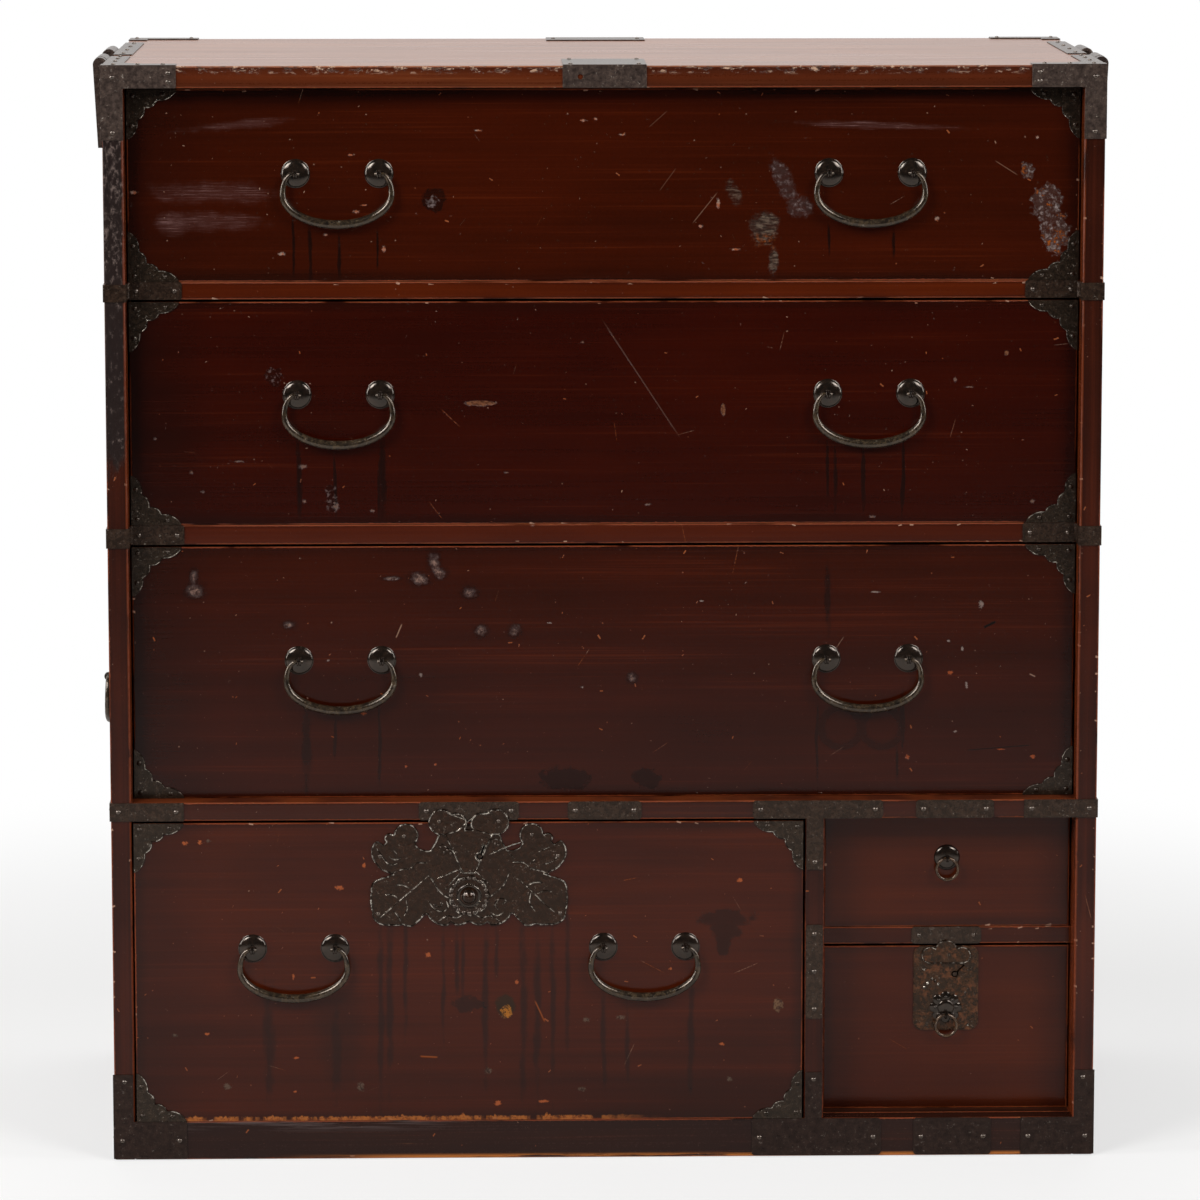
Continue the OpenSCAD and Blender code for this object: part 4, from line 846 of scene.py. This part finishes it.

# %% [markdown]
# The stiles and rails have wear of their own. The left stile is almost black in its upper half,
# with grey flecks. Each stile's inner edge is rubbed to orange, because drawers and hands have
# passed over it for years. Each rail's upper face is orange too: partly rubbed wood, and partly
# painted light on the face that looks up to the lamps.

# %% Marks of the stiles, the rails and the top


def stile_marks(black_from, inner_x):
    """Marks of a stile: black with flecks above a height, and orange along its inner edge."""

    def marks(finish, colour, rough, height):
        inner = abs(finish.x)
        flecks = finish.noise(4, 4, 7, detail=7, rough=0.75, seed=91)
        black = finish.noise(18, 18, 60, detail=4, rough=0.6, seed=92) + (finish.z - black_from) / 120
        black = black.rise(0.45, 0.65) * facing(finish, "xz")
        more = finish.z.rise(760, 880) * 0.05
        pitted = (flecks + more).rise(0.54, 0.7)
        colour = finish.mix(black * 0.92, colour, finish.mix(pitted, tone(28, 20, 18), tone(100, 86, 80)))
        gold = inner.rise(inner_x + 2.6, inner_x + 1.4) * inner.rise(inner_x - 3, inner_x - 1)
        gold = gold * finish.noise(20, 20, 50, seed=93).rise(0.34, 0.5)
        colour = finish.mix(gold * 0.55, colour, tone(118, 50, 18))
        return colour, rough + black * flecks * 0.2, height - black * flecks * 0.5

    return marks


def rail_marks(top_z):
    """Marks of a rail: its upper face is orange, partly rubbed wood and partly painted light."""

    def marks(finish, colour, rough, height):
        # Painted light: the upper face is lighter orange, partly rubbed wood and partly light from above.
        upper = finish.z.rise(top_z - 1.4, top_z - 0.5)
        streaks = finish.noise(60, 60, 2, detail=4, seed=94)
        colour = finish.mix(upper * (streaks.rise(0.35, 0.6) * 0.45 + 0.1), colour, tone(120, 54, 20))
        return colour, rough + upper * 0.15, height

    return marks


def top_marks(finish, colour, rough, height):
    """The upper face is paler: faded wood and painted sheen. Pale dents line the front edge."""
    low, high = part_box("top_board")
    near_edge = finish.z.rise(high.z * 1000 - 9, high.z * 1000 - 2)
    near_edge = near_edge * finish.y.rise(low.y * 1000 + 3, low.y * 1000)
    dents = finish.noise(9, 9, 4, detail=6, rough=0.75, seed=95).rise(0.53, 0.6)
    upper = finish.z.rise(high.z * 1000 - 1.5, high.z * 1000 - 0.5)
    grain = finish.noise(200, 3, 30, detail=6, rough=0.7, seed=98)
    # Painted sheen: the upper face is lighter, partly faded wood and partly a painted reflection.
    faded_and_sheen = finish.mix(grain.rise(0.36, 0.62), tone(104, 58, 34), tone(158, 104, 72))
    colour = finish.mix(upper * 0.85, colour, faded_and_sheen)
    kind = finish.noise(14, 14, 3, detail=3, seed=96).rise(0.45, 0.55)
    dent_tone = finish.mix(kind, tone(202, 164, 136), tone(66, 46, 34))
    colour = finish.mix(dents * near_edge * 0.8, colour, dent_tone)
    return colour, rough, height - dents * near_edge


def base_marks(finish, colour, rough, height):
    """The base is dark with old polish, grey along its upper edge and worn to wood at its foot."""
    low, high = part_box("base_rail")
    streaks = finish.noise(90, 90, 3, detail=6, rough=0.7, seed=97)
    dull = finish.z.rise(high.z * 1000 - 12, high.z * 1000 - 3) * streaks.rise(0.46, 0.6)
    dull = dull * finish.x.rise(-60, -260)
    colour = finish.mix(dull * 0.35, colour, grey_scar)
    colour = finish.mix(streaks.rise(0.68, 0.76) * 0.4, colour, tone(128, 84, 56))
    foot = finish.z.rise(low.z * 1000 + 5, low.z * 1000 + 1) * streaks.rise(0.4, 0.5)
    foot = foot * finish.x.rise(-320, -150)
    colour = finish.mix(foot * 0.85, colour, tone(190, 112, 48))
    return colour, rough + dull * 0.2, height


# %% [markdown]
# ## Dress the boards
# Each board gets a finish of its own, with the grain along its length: upright on the sides and
# on the divider, level on the others. The low fronts are redder and paler than the high ones, as
# the real chest looks: this is painted light from the pale floor before them, which lights the low
# fronts most. The two fronts with keyholes keep their sharp edges, because rounding would spoil
# the narrow holes.

# %% Boards
dress("top_board", lacquer("top_board", dark=tone(76, 27, 6), mid=tone(98, 41, 13), light=tone(142, 82, 46),
                           faces=("xz", "xy"), wear=1.3, marks=top_marks, seed=11, gloss=0.28), 1.6, 3)
inner_x = 435.5
never = 1100
for name, seed, black_from in (("left_side", 12, 640), ("right_side", 13, never),
                               ("divider_board", 14, never)):
    dress(name, lacquer(name, grain="z", faces=("xz", "yz"), seed=seed, gloss=0.24, mid=tone(72, 27, 12),
                        marks=stile_marks(black_from, inner_x)), 0.8)
rail_tones = {"upper_rail": ((82, 27, 4), (58, 16, 3)), "middle_rail": ((76, 27, 10), (54, 16, 6)),
              "lower_rail": ((64, 26, 14), (46, 17, 9)), "small_rail": ((74, 26, 8), (50, 15, 4))}
for seed, (name, (mid, dark)) in enumerate(rail_tones.items(), 15):
    dress(name, lacquer(name, wear=1.1, edge_dark_reach=4, hurt=0.8, seed=seed, mid=tone(*mid), dark=tone(*dark),
                        marks=rail_marks(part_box(name)[1].z * 1000)), 0.8)
dress("base_rail", lacquer("base_rail", edge_dark_reach=4, seed=19, mid=tone(46, 22, 14), dark=tone(32, 15, 11),
                           marks=base_marks, gloss=0.26), 0.8)
# Painted light: the low fronts 4 to 6 have paler, redder tones for the floor's light on them.
front_looks = {
    1: ((58, 14, 1), (40, 8, 0), {"marks": marks_of_drawer_1, "paleness": 0.7, "painted_end_shade": 0.3}),
    2: ((51, 8, 0), (36, 4, 0), {"marks": marks_of_drawer_2, "paleness": 0.6, "painted_end_shade": 0.45}),
    3: ((55, 13, 1), (38, 7, 0), {"marks": marks_of_drawer_3, "paleness": 0.5, "painted_end_shade": 0.4}),
    4: ((72, 23, 4), (46, 13, 3), {"marks": marks_of_drawer_4, "paleness": 0.25, "painted_end_shade": 0.35}),
    5: ((78, 27, 4), (58, 17, 3), {"hurt": 0.6, "paleness": 0.3}),
    6: ((78, 27, 4), (58, 17, 3), {"hurt": 0.6, "paleness": 0.3}),
}
for number, (mid, dark, looks) in front_looks.items():
    name = f"drawer_{number}_front"
    finish = lacquer(name, seed=20 + number, mid=tone(*mid), dark=tone(*dark), **looks)
    dress(name, finish, 0 if number in (4, 6) else 1.0)
    dress(f"drawer_{number}_box", old_wood(f"drawer_{number}_box", "y", "x", seed=number), 0.6)
dress("floor_board", lacquer("floor_board", dark=tone(34, 15, 9), mid=tone(62, 30, 18), wear=1.6, hurt=1.6,
                             faces=("xz", "xy"), seed=27, gloss=0.34), 0.6)
dress("back_boards", old_wood("back_boards", "x", seed=8), 0.6)
dress("drawer_runners", old_wood("drawer_runners", "y", seed=9), 0.6)
print("wood finishes:", sum("lacquer_" in name or "old_wood_" in name
                            for name in bpy.data.materials.keys()))

# %% [markdown]
# ## Dress the irons
# Flat straps and plates have their right shape already, so they stay. Forged edges are crisp, so
# their rounding is half a millimetre at most. Only the bolts get more: they go up into the rail
# above them, and a real bolt is eased at its end so that it finds its hole.

# %% Irons that stay
for name in ("top_irons", "loop_mounts", "left_carry_loop", "right_carry_loop"):
    dress(name, iron_top, 0.45)
dress("base_irons", iron_base, 0.45)
dress("rail_irons", iron_brown, 0.35)
dress("case_nails", iron_nail)
for number in (1, 2, 3, 4):
    dress(f"drawer_{number}_corner_irons", iron_black, 0.25)
dress("drawer_4_lock_plate", iron_leaf, 0.35)
dress("drawer_6_lock_plate", iron_rusty, 0.35)
for number in (4, 6):
    dress(f"drawer_{number}_lock_case", iron_brown, 0.4)
    dress(f"drawer_{number}_lock_bolt", iron_brown, 0.8)
for number in (5, 6):
    dress(f"drawer_{number}_ring", iron_ring)
print("dressed solids:", sum(bool(thing.data.materials) for thing in nodes.values()), "of", len(nodes))

# %% [markdown]
# ## Tools for shaping iron
# Handles and rosettes are round work: a smith draws a rod out thin at its ends and bends it, and
# turns or hammers a cap over a form. So one tool sweeps a round section along a line, and one
# turns a profile round its middle. A third lays a thin ridge for each line that a chisel has
# thrown up. All of them draw in millimetres on a face: across it, up it and out of it.

# %% Places on a face


def on_face(origin, across=(1, 0, 0), up=(0, 0, 1), out=(0, -1, 0)):
    """A function that turns a drawing on a face, in millimetres, into places in metres."""
    origin, across, up, out = Vector(origin), Vector(across), Vector(up), Vector(out)

    def place(u, v, w=0.0):
        return origin + (across * u + up * v + out * w) / 1000

    return place


def around(count):
    """Angles of a number of places that stand evenly round a middle."""
    return [2 * math.pi * k / count for k in range(count)]


def left_of(before, after):
    """The way at right angles to a line on a face, to its left, with a length of 1."""
    length = max(math.dist(before, after), 1e-6)
    return (before[1] - after[1]) / length, (after[0] - before[0]) / length


def add_faces(shape, rings, closed=True, capped=False):
    """Joins rings of points into a skin. Closed rings go all the way round, a cap closes each end."""
    rows = [[shape.verts.new(point) for point in ring] for ring in rings]
    for row, following in zip(rows, rows[1:]):
        count = len(row)
        for k in range(count if closed else count - 1):
            n = (k + 1) % count
            shape.faces.new((row[k], row[n], following[n], following[k]))
    if capped:
        shape.faces.new(rows[0])
        shape.faces.new(rows[-1])
    return rows


def add_turned(shape, place, middle, profile, sides=32):
    """Turns a profile of (radius, height) round a middle (u, v, w) on a face."""
    u, v, w = middle
    rings = []
    for radius, height in profile:
        rings.append([place(u + radius * math.cos(a), v + radius * math.sin(a), w + height)
                      for a in around(sides)])
    add_faces(shape, rings, capped=True)


def add_swept(shape, line, radii, sides=16):
    """A round rod along a line of points, with a radius in millimetres for each point."""
    rings = []
    side = None
    for k, point in enumerate(line):
        way = (line[min(k + 1, len(line) - 1)] - line[max(k - 1, 0)]).normalized()
        side = (way.orthogonal() if side is None else side - way * side.dot(way)).normalized()
        other = way.cross(side)
        rings.append([point + (side * math.cos(a) + other * math.sin(a)) * (radii[k] / 1000)
                      for a in around(sides)])
    add_faces(shape, rings, capped=True)


def add_ridge(shape, place, points, lift, width=1.3, height=0.6, closed=False):
    """A small rounded burr along a line of (u, v) points on a face, for a chased line or a rim."""
    start_size = 0.35
    sunk = 0.05
    rings = []
    last = len(points) - 1
    for k, (u, v) in enumerate(points):
        if closed:
            before, after = points[k - 1], points[(k + 1) % len(points)]
        else:
            before, after = points[max(k - 1, 0)], points[min(k + 1, last)]
        side = left_of(before, after)
        full = 1.0 if closed else min(1.0, start_size + (1 - start_size) * min(k, last - k) / 2)
        ring = []
        for turn in (0, 45, 90, 135, 180):
            off = -math.cos(math.radians(turn)) * width / 2 * full
            up = math.sin(math.radians(turn)) * height * full
            ring.append(place(u + side[0] * off, v + side[1] * off, lift - sunk + up))
        rings.append(ring)
    if closed:
        rings.append(rings[0])
    add_faces(shape, rings, closed=False)


def rim_loops(name, depth, inset=0.6):
    """Outlines of a solid's flat faces at one depth, as loops of (x, z) in millimetres, drawn inwards."""
    shape = bmesh.new()
    shape.from_mesh(nodes[name].data)
    bmesh.ops.remove_doubles(shape, verts=shape.verts, dist=0.00001)
    flat = [face for face in shape.faces
            if face.normal.y < -0.9 and abs(face.calc_center_median().y * 1000 - depth) < 0.2]
    following = {}
    for face in flat:
        for loop in face.loops:
            if not any(other in flat for other in loop.edge.link_faces if other is not face):
                following[loop.vert] = loop.link_loop_next.vert
    loops = []
    while following:
        start, vert = following.popitem()
        chain = [start.co.copy()]
        while vert in following:
            chain.append(vert.co.copy())
            vert = following.pop(vert)
        points = [(c.x * 1000, c.z * 1000) for c in chain]
        moved = []
        for k, here in enumerate(points):
            before, after = points[k - 1], points[(k + 1) % len(points)]
            inwards = left_of(before, after)
            moved.append((here[0] + inwards[0] * inset, here[1] + inwards[1] * inset))
        loops.append(moved)
    shape.free()
    return loops


sharp_from = math.radians(40)


def piece(name, shape, material, body, instead_of=()):
    """Makes an iron piece of a shape, smooth but for its sharp edges, and lets it ride on a body."""
    mesh = bpy.data.meshes.new(name)
    bmesh.ops.recalc_face_normals(shape, faces=shape.faces)
    shape.to_mesh(mesh)
    shape.free()
    mesh.shade_smooth()
    mesh.set_sharp_from_angle(angle=sharp_from)
    mesh.materials.append(material)
    thing = bpy.data.objects.new(name, mesh)
    scene.collection.objects.link(thing)
    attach(thing, body)
    if instead_of:
        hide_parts(*instead_of)


# %% [markdown]
# ## Bails
# A bail is one rod: thick and a little flat-sided in the grip, and thin where it bends over at
# the rosettes. Its pins turn in from both sides through the eyes. The line is two quarter
# ellipses and a half ellipse, as in the solid, with more points along it and more sides round
# it, so it replaces the solid. Its place comes from the joint it swings on.

# %% The rod of a bail
post_spacing = 76
bail_width = 99
bail_shoulder = 18
bail_drop = 46
grip_radius = 4.2
end_radius = 2.0
pin_radius = 1.7
rod_start = post_spacing / 2 + 2.3


def bail_line():
    """Points (u, v) from the right eye down round to the left eye."""
    half = bail_width / 2
    bend = half - rod_start
    right = [(rod_start + bend * math.cos(a), -bail_shoulder * (1 - math.sin(a)))
             for a in (math.pi / 2 * (1 - k / 8) for k in range(8))]
    low = [(half * math.cos(a), -bail_shoulder - (bail_drop - bail_shoulder) * math.sin(a))
           for a in (math.pi * k / 32 for k in range(33))]
    left = [(-u, v) for u, v in reversed(right)]
    return right + low + left


def add_bail(shape, place):
    """The rod with its pins, where the place's origin is the pivot."""
    line = bail_line()
    last = len(line) - 1
    radii = []
    for k in range(last + 1):
        swell = math.sin(math.pi * k / last) ** 1.5
        dents = 0.07 * math.sin(k * 1.9) * swell
        radii.append(end_radius + (grip_radius - end_radius) * swell + dents)
    pin = [(post_spacing / 2 - 4, 0), (post_spacing / 2 - 3.4, 0), (rod_start - 0.6, 0)]
    points = pin + line + [(-u, v) for u, v in reversed(pin)]
    radii = [pin_radius * 0.7, pin_radius, pin_radius] + radii + [pin_radius, pin_radius, pin_radius * 0.7]
    add_swept(shape, [place(u, v) for u, v in points], radii)


rod_line = bail_line()
print("length of a bail's rod in mm:", round(sum(map(math.dist, rod_line, rod_line[1:])), 1))


# %% [markdown]
# A rosette is a thin cap over a washer. Out of it comes a split pin of flat iron whose two legs
# form the eye, so from the front each eye shows two narrow bands and a dark slit between them.

# %% Rosettes and eyes
rosette_profile = [(13.25, 0), (13.25, 0.5), (12.95, 0.7), (12.7, 0.75)]
rosette_profile += [(12.6 * math.cos(0.16 * k), 0.75 + 3.25 * math.sin(0.16 * k)) for k in range(1, 10)]
cheek = 1.75
slit = 0.35


def add_eye(shape, place, u, out, outer=3.9, inner=1.95, band=cheek, root=3.0):
    """Two flat bands round a pin, and their legs down to the rosette."""
    for side in (-1, 1):
        near = u + side * slit / 2
        far = near + side * band
        soft = 0.3
        section = [(inner, near), (outer - soft, near), (outer, near + side * soft),
                   (outer, far - side * soft), (outer - soft, far), (inner, far)]
        sides = 20
        rings = []
        for radius, along in section:
            turn = [2 * math.pi * k / sides for k in range(sides)]
            rings.append([place(along, radius * math.cos(a), out + radius * math.sin(a)) for a in turn])
        add_faces(shape, rings + rings[:1])
        leg = 2.6
        corners = [(-leg, root), (leg, root), (leg * 0.8, out - inner - 0.3),
                   (-leg * 0.8, out - inner - 0.3)]
        rows = add_faces(shape, [[place(along, v, w) for v, w in corners] for along in (near, far)])
        shape.faces.new(rows[0])
        shape.faces.new(rows[1])


def add_posts(shape, place, out):
    """The two rosettes of a bail with their eyes."""
    for u in (-post_spacing / 2, post_spacing / 2):
        add_turned(shape, place, (u, 0, 0), rosette_profile, sides=48)
        add_eye(shape, place, u, out)


print("height of a rosette in mm:", round(rosette_profile[-1][1], 2))


# %% [markdown]
# Ten bails are made with the same tools: two on each wide drawer and one on each side. Each rod
# rides on its own body and swings there. The rosettes of one drawer are one piece, because they
# move together.

# %% Bails and rosettes on the drawers and on the sides
for number in (1, 2, 3, 4):
    front_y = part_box(f"drawer_{number}_front")[0].y
    posts = bmesh.new()
    for side in ("left", "right"):
        name = f"drawer_{number}_{side}_bail"
        x, y, z = pivots[name + "_turn"]
        rod = bmesh.new()
        add_bail(rod, on_face((x, y, z)))
        piece(name + "_rod", rod, iron_grip, name, instead_of=[name])
        add_posts(posts, on_face((x, front_y, z)), (front_y - y) * 1000)
    name = f"drawer_{number}_bail_posts"
    piece(name + "_rosettes", posts, iron_smooth, f"drawer_{number}", instead_of=[name])

posts = bmesh.new()
for side, sign in (("left", -1), ("right", 1)):
    name = side + "_side_bail"
    x, y, z = pivots[name + "_turn"]
    wall_x = sign * abs(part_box("left_side")[0].x)
    rod = bmesh.new()
    add_bail(rod, on_face((x, y, z), across=(0, 1, 0), out=(sign, 0, 0)))
    piece(name + "_rod", rod, iron_grip, name, instead_of=[name])
    add_posts(posts, on_face((wall_x, y, z), across=(0, 1, 0), out=(sign, 0, 0)), abs(x - wall_x) * 1000)
piece("side_bail_rosettes", posts, iron_smooth, "case", instead_of=["side_bail_posts"])
print("points along a bail:", len(bail_line()))

# %% [markdown]
# ## Ring pulls
# Each small drawer has a light ring. The upper one hangs in an eye on a plain cap, the lower one
# on a flower with a raised middle and a bead on each petal.

# %% Caps and flower under the rings
cap_profile = [(12, 0), (12, 0.6), (11.6, 1.1), (10.6, 1.9), (8.6, 2.7), (6.0, 3.2), (3.0, 3.5), (0.3, 3.5)]


def add_nail(shape, place, u, v, w, radius=2.3, height=1.3):
    """A domed nail head, with its edge a little under the surface."""
    profile = [(radius, -0.1), (radius * 0.97, height * 0.3), (radius * 0.8, height * 0.68),
               (radius * 0.5, height * 0.92), (radius * 0.15, height)]
    add_turned(shape, place, (u, v, w), profile, sides=14)


petal_count = 8


def add_flower(shape, place, middle, across, petals, thick):
    """A scalloped plate with a bead on each petal."""
    u, v, w = middle
    petal = across * 0.18
    reach = across / 2 - petal
    rim = []
    for a in around(petals * 10):
        wave = abs(math.cos(a * petals / 2)) ** 0.6
        rim.append((reach + petal * (0.45 + 0.55 * wave), a))
    rings = []
    for grow, height in ((1, 0), (1, thick * 0.7), (0.97, thick), (0.62, thick + 0.5), (0.3, thick + 0.7)):
        rings.append([place(u + r * grow * math.cos(a), v + r * grow * math.sin(a), w + height)
                      for r, a in rim])
    rows = add_faces(shape, rings)
    shape.faces.new(rows[-1])
    for a in around(petals):
        add_nail(shape, place, u + reach * math.cos(a), v + reach * math.sin(a), w + thick, 1.7, 0.9)


for number in (5, 6):
    x, y, z = pivots[f"drawer_{number}_ring_turn"]
    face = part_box(f"drawer_{number}_front")[0].y - (0 if number == 5 else 0.0015)
    place = on_face((x, face, z))
    out = (face - y) * 1000
    post = bmesh.new()
    if number == 5:
        add_turned(post, place, (0, 0, 0), cap_profile, sides=40)
    else:
        add_flower(post, place, (0, 6, 0), 30, petal_count, 1.2)
        add_turned(post, place, (0, 6, 0), [(8, 1.2), (7.6, 2.2), (6.4, 2.9), (4, 3.2), (0.3, 3.2)])
    add_eye(post, place, 0, out, outer=3.4, inner=2.0, band=1.1, root=1.2)
    piece(f"drawer_{number}_ring_cap", post, iron_smooth, f"drawer_{number}",
          instead_of=[f"drawer_{number}_ring_post"])
print("petals under the lower ring:", petal_count)

# %% [markdown]
# ## Relief on the leaf plate
# The leaf plate is cut out of sheet iron, its edges are drawn up a little, and its veins and
# scrolls are chased with a chisel. At this size a chased line is read by the light on its raised
# burr, so each line is a thin rounded burr on the plate. The rim follows the solid's own outline,
# so the two can't drift apart.

# %% Rim and veins of the leaf plate
leaf_x = (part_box("drawer_4_front")[0].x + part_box("drawer_4_front")[1].x) / 2
leaf_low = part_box("drawer_4_lock_plate")[0].z
leaf_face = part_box("drawer_4_front")[0].y
leaf = on_face((leaf_x, leaf_face, leaf_low))
front_plane = on_face((0, leaf_face, 0))
plate_thick = 1.5


def bent(points, steps=5):
    """A smooth line through some points."""
    if len(points) < 3:
        (a, b), (c, d) = points
        return [(a + (c - a) * k / steps, b + (d - b) * k / steps) for k in range(steps + 1)]
    full = [points[0]] + list(points) + [points[-1]]
    line = []
    for p, q, r, w in zip(full, full[1:], full[2:], full[3:]):
        for k in range(steps):
            s = k / steps
            line.append(tuple(
                0.5 * (2 * q[i] + (r[i] - p[i]) * s + (2 * p[i] - 5 * q[i] + 4 * r[i] - w[i]) * s * s
                       + (3 * q[i] - p[i] - 3 * r[i] + w[i]) * s ** 3) for i in (0, 1)))
    return line + [points[-1]]


veins_left = [
    [(-84, 7), (-61, 27), (-37.6, 47.5)],
    [(-37.6, 47.5), (-34.4, 44.4), (-28, 34.3), (-20, 27.4), (-10.5, 28)],
    [(-69, 50.7), (-62, 53.8), (-54.6, 54.5), (-48, 59.5), (-38, 59.9)],
    [(-80, 65.8), (-73.5, 58.3), (-66, 59.5)], [(-85, 74), (-80, 66), (-76, 61)],
    [(-70, 72), (-66, 68)], [(-74, 66), (-68, 63), (-62, 65)], [(-5.4, 55), (-29.4, 45)],
    [(-6, 52.6), (-23, 34.3)], [(-26, 78), (-13, 70), (-4, 64)],
    [(-37.6, 24), (-32, 16.6), (-24.3, 14), (-19.3, 17.9), (-21, 24.2)],
    [(-33, 21), (-27, 18), (-24, 22)], [(-66, 27), (-71, 30), (-77, 30)],
    [(-55, 36), (-61, 39), (-68, 39)], [(-70, 15), (-65, 9), (-63, 4)],
    [(-58, 25), (-57, 17), (-60, 10)], [(-28, 5), (-20, 10), (-12, 8), (-6, 11)]
]
veins_right = [
    [(41, 47), (52.6, 38), (69, 21.7), (79, 12.9)],
    [(36.8, 49.4), (32.4, 39.3), (27.4, 34.3), (18.5, 26.7)], [(54.5, 38), (60, 41), (69, 40.6)],
    [(63, 30.5), (69, 33), (77, 32)], [(57, 31), (56, 22), (61, 14)],
    [(18.5, 67), (35, 74.6), (48, 79)], [(33.7, 72), (42.5, 63.3)], [(64, 69.6), (75, 74.6)],
    [(55.7, 58), (60.8, 62.7)], [(74, 49.4), (66, 52), (58, 54), (50, 60), (40, 60)],
    [(82, 66), (76, 60), (68, 58)], [(4.7, 53.2), (22.3, 35.6)],
    [(31, 20.4), (34, 24.2), (29, 26), (24, 21), (27, 15.4)], [(20, 13), (26, 10), (32, 13)],
    [(17, 77), (22, 82), (31, 80)], [(-8, 62), (-5.4, 55.7), (-1, 53.8), (4, 56.4), (7.2, 62)],
    [(28, 5), (20, 10), (12, 8), (6, 11)]
]
lines_on_hasp = [
    [(-24, 86.6), (-11.7, 89.8), (-5.4, 94.2)], [(2, 95.5), (7.8, 90.4), (24, 86)],
    [(2, 101), (9.7, 105.5), (22, 107)], [(-4, 101), (-12, 104), (-20, 107)],
    [(-7, 94), (2, 101)]
]
chasing = bmesh.new()
for line in veins_left + veins_right:
    add_ridge(chasing, leaf, bent(line), plate_thick)
for line in lines_on_hasp:
    add_ridge(chasing, leaf, bent(line), 2 * plate_thick)
for level in (1, 2):
    for loop in rim_loops("drawer_4_lock_plate", leaf_face * 1000 - level * plate_thick):
        wide = max(x for x, z in loop) - min(x for x, z in loop)
        if wide > 20:
            add_ridge(chasing, front_plane, loop, level * plate_thick, width=1.5, height=0.7, closed=True)
piece("leaf_plate_relief", chasing, iron_relief, "drawer_4")
print("chased lines:", len(veins_left + veins_right + lines_on_hasp))

# %% [markdown]
# The knob stands on a washer with a ring of beads. Small screws hold the round lobes, and a few
# grains were punched beside the hasp. All these are turned or domed, so they reuse the tools.

# %% Knob, beads and grains of the leaf plate
knob = bmesh.new()
knob_v = 29
base = plate_thick + 0.2
washer = [(11.2, base), (11.2, base + 1.2), (10.6, base + 1.9), (9.4, base + 2.2), (8.2, base + 2.0),
          (7.4, base + 1.4)]
add_turned(knob, leaf, (0, knob_v, 0), washer, sides=48)
ball = [(2.8, base)]
ball += [(6.6 * math.cos(0.26 * k - 0.5), base + 5 + 4.4 * math.sin(0.26 * k - 0.5)) for k in range(8)]
add_turned(knob, leaf, (0, knob_v, 0), ball + [(0.3, base + 9.35)], sides=36)
piece("leaf_plate_knob", knob, iron_smooth, "drawer_4")

beads = bmesh.new()
bead_count = 20
bead_ring = 16.6
for a in around(bead_count):
    add_nail(beads, leaf, bead_ring * math.cos(a), knob_v + bead_ring * math.sin(a), base + 0.6, 2.1, 1.5)
for u, v in ((-60, 85), (58, 86), (-27.5, 99), (27.5, 99), (-84, 12), (84, 12), (-82, 66), (82, 66)):
    add_nail(beads, leaf, u, v, plate_thick if abs(u) > 40 else 2 * plate_thick, 1.9, 1.0)
for u, v in ((-26, 75), (-20, 72), (-15, 74), (-17, 69), (-23, 70), (-12, 70), (24, 78), (27, 77),
             (-26, 22), (26, 22)):
    add_nail(beads, leaf, u, v, 2 * plate_thick if v > 68 else plate_thick, 1.1, 0.6)
piece("leaf_plate_beads", beads, iron_nail, "drawer_4")
print("beads round the knob:", bead_count)

# %% [markdown]
# The small lock plate is rusty. Its tongue and shoulders have a bright worn rim, and it is held
# by small screws.

# %% Rim and screws of the small lock plate
small_low, small_high = [corner * 1000 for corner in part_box("drawer_6_lock_plate")]
small_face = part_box("drawer_6_front")[0].y * 1000
small = on_face((0, small_face / 1000, 0))
small_x = (small_low.x + small_high.x) / 2
small_rim = bmesh.new()
for loop in rim_loops("drawer_6_lock_plate", small_face - plate_thick):
    add_ridge(small_rim, small, loop, plate_thick, width=0.9, height=0.25, closed=True)
piece("small_plate_edge", small_rim, iron_rusty, "drawer_6")
tongue_rim = bmesh.new()
for loop in rim_loops("drawer_6_lock_plate", small_face - 2 * plate_thick):
    add_ridge(tongue_rim, small, loop, 2 * plate_thick, width=1.1, height=0.4, closed=True)
for u, v in ((-20.5, 169), (23.5, 169), (-18, 116), (21, 116), (-10, 158), (-7, 155), (-13, 160),
             (-17, 156), (-20, 152)):
    add_nail(tongue_rim, small, small_x + u, v, plate_thick, 1.5, 0.9)
piece("small_plate_tongue_rim", tongue_rim, iron_relief, "drawer_6")
print("middle of the small plate in mm from the middle of the chest:", round(small_x, 1))

# %% [markdown]
# ## Edges of the corner irons
# The inner edge of each corner iron is cut in lobes, and its burr is bright where hands have
# rubbed it. Only the lobed side gets a rim, so places near the edge of the board are left out.

# %% Rims on the corner irons
for number in (1, 2, 3, 4):
    low, high = [corner * 1000 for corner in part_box(f"drawer_{number}_front")]
    plane = on_face((0, low.y / 1000, 0))
    rims = bmesh.new()
    count = 0
    for loop in rim_loops(f"drawer_{number}_corner_irons", low.y - 1, inset=0.5):
        inner = [min(x - low.x, high.x - x, z - low.z, high.z - z) > 2.4 for x, z in loop]
        if not any(inner) or all(inner) or len(loop) < 8:
            continue
        first = next(k for k in range(len(loop)) if inner[k] and not inner[k - 1])
        run = []
        for k in range(len(loop)):
            if inner[(first + k) % len(loop)]:
                run.append(loop[(first + k) % len(loop)])
            else:
                break
        if len(run) > 3:
            add_ridge(rims, plane, run, 1.0, width=1.0, height=0.4)
            count += 1
    print("drawer", number, "corner rims:", count)
    piece(f"drawer_{number}_corner_rims", rims, iron_relief, f"drawer_{number}")

# %% [markdown]
# ## Sizes and the end
# The sizes of the solids and of the dressed part are written down, so that they can be set side
# by side.

# %% Sizes and the last call
low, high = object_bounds()
{"cad": [list(cad_low), list(cad_high)], "visual": [list(low), list(high)]}
print("visual size in mm:", [round(1000 * side, 1) for side in high - low])
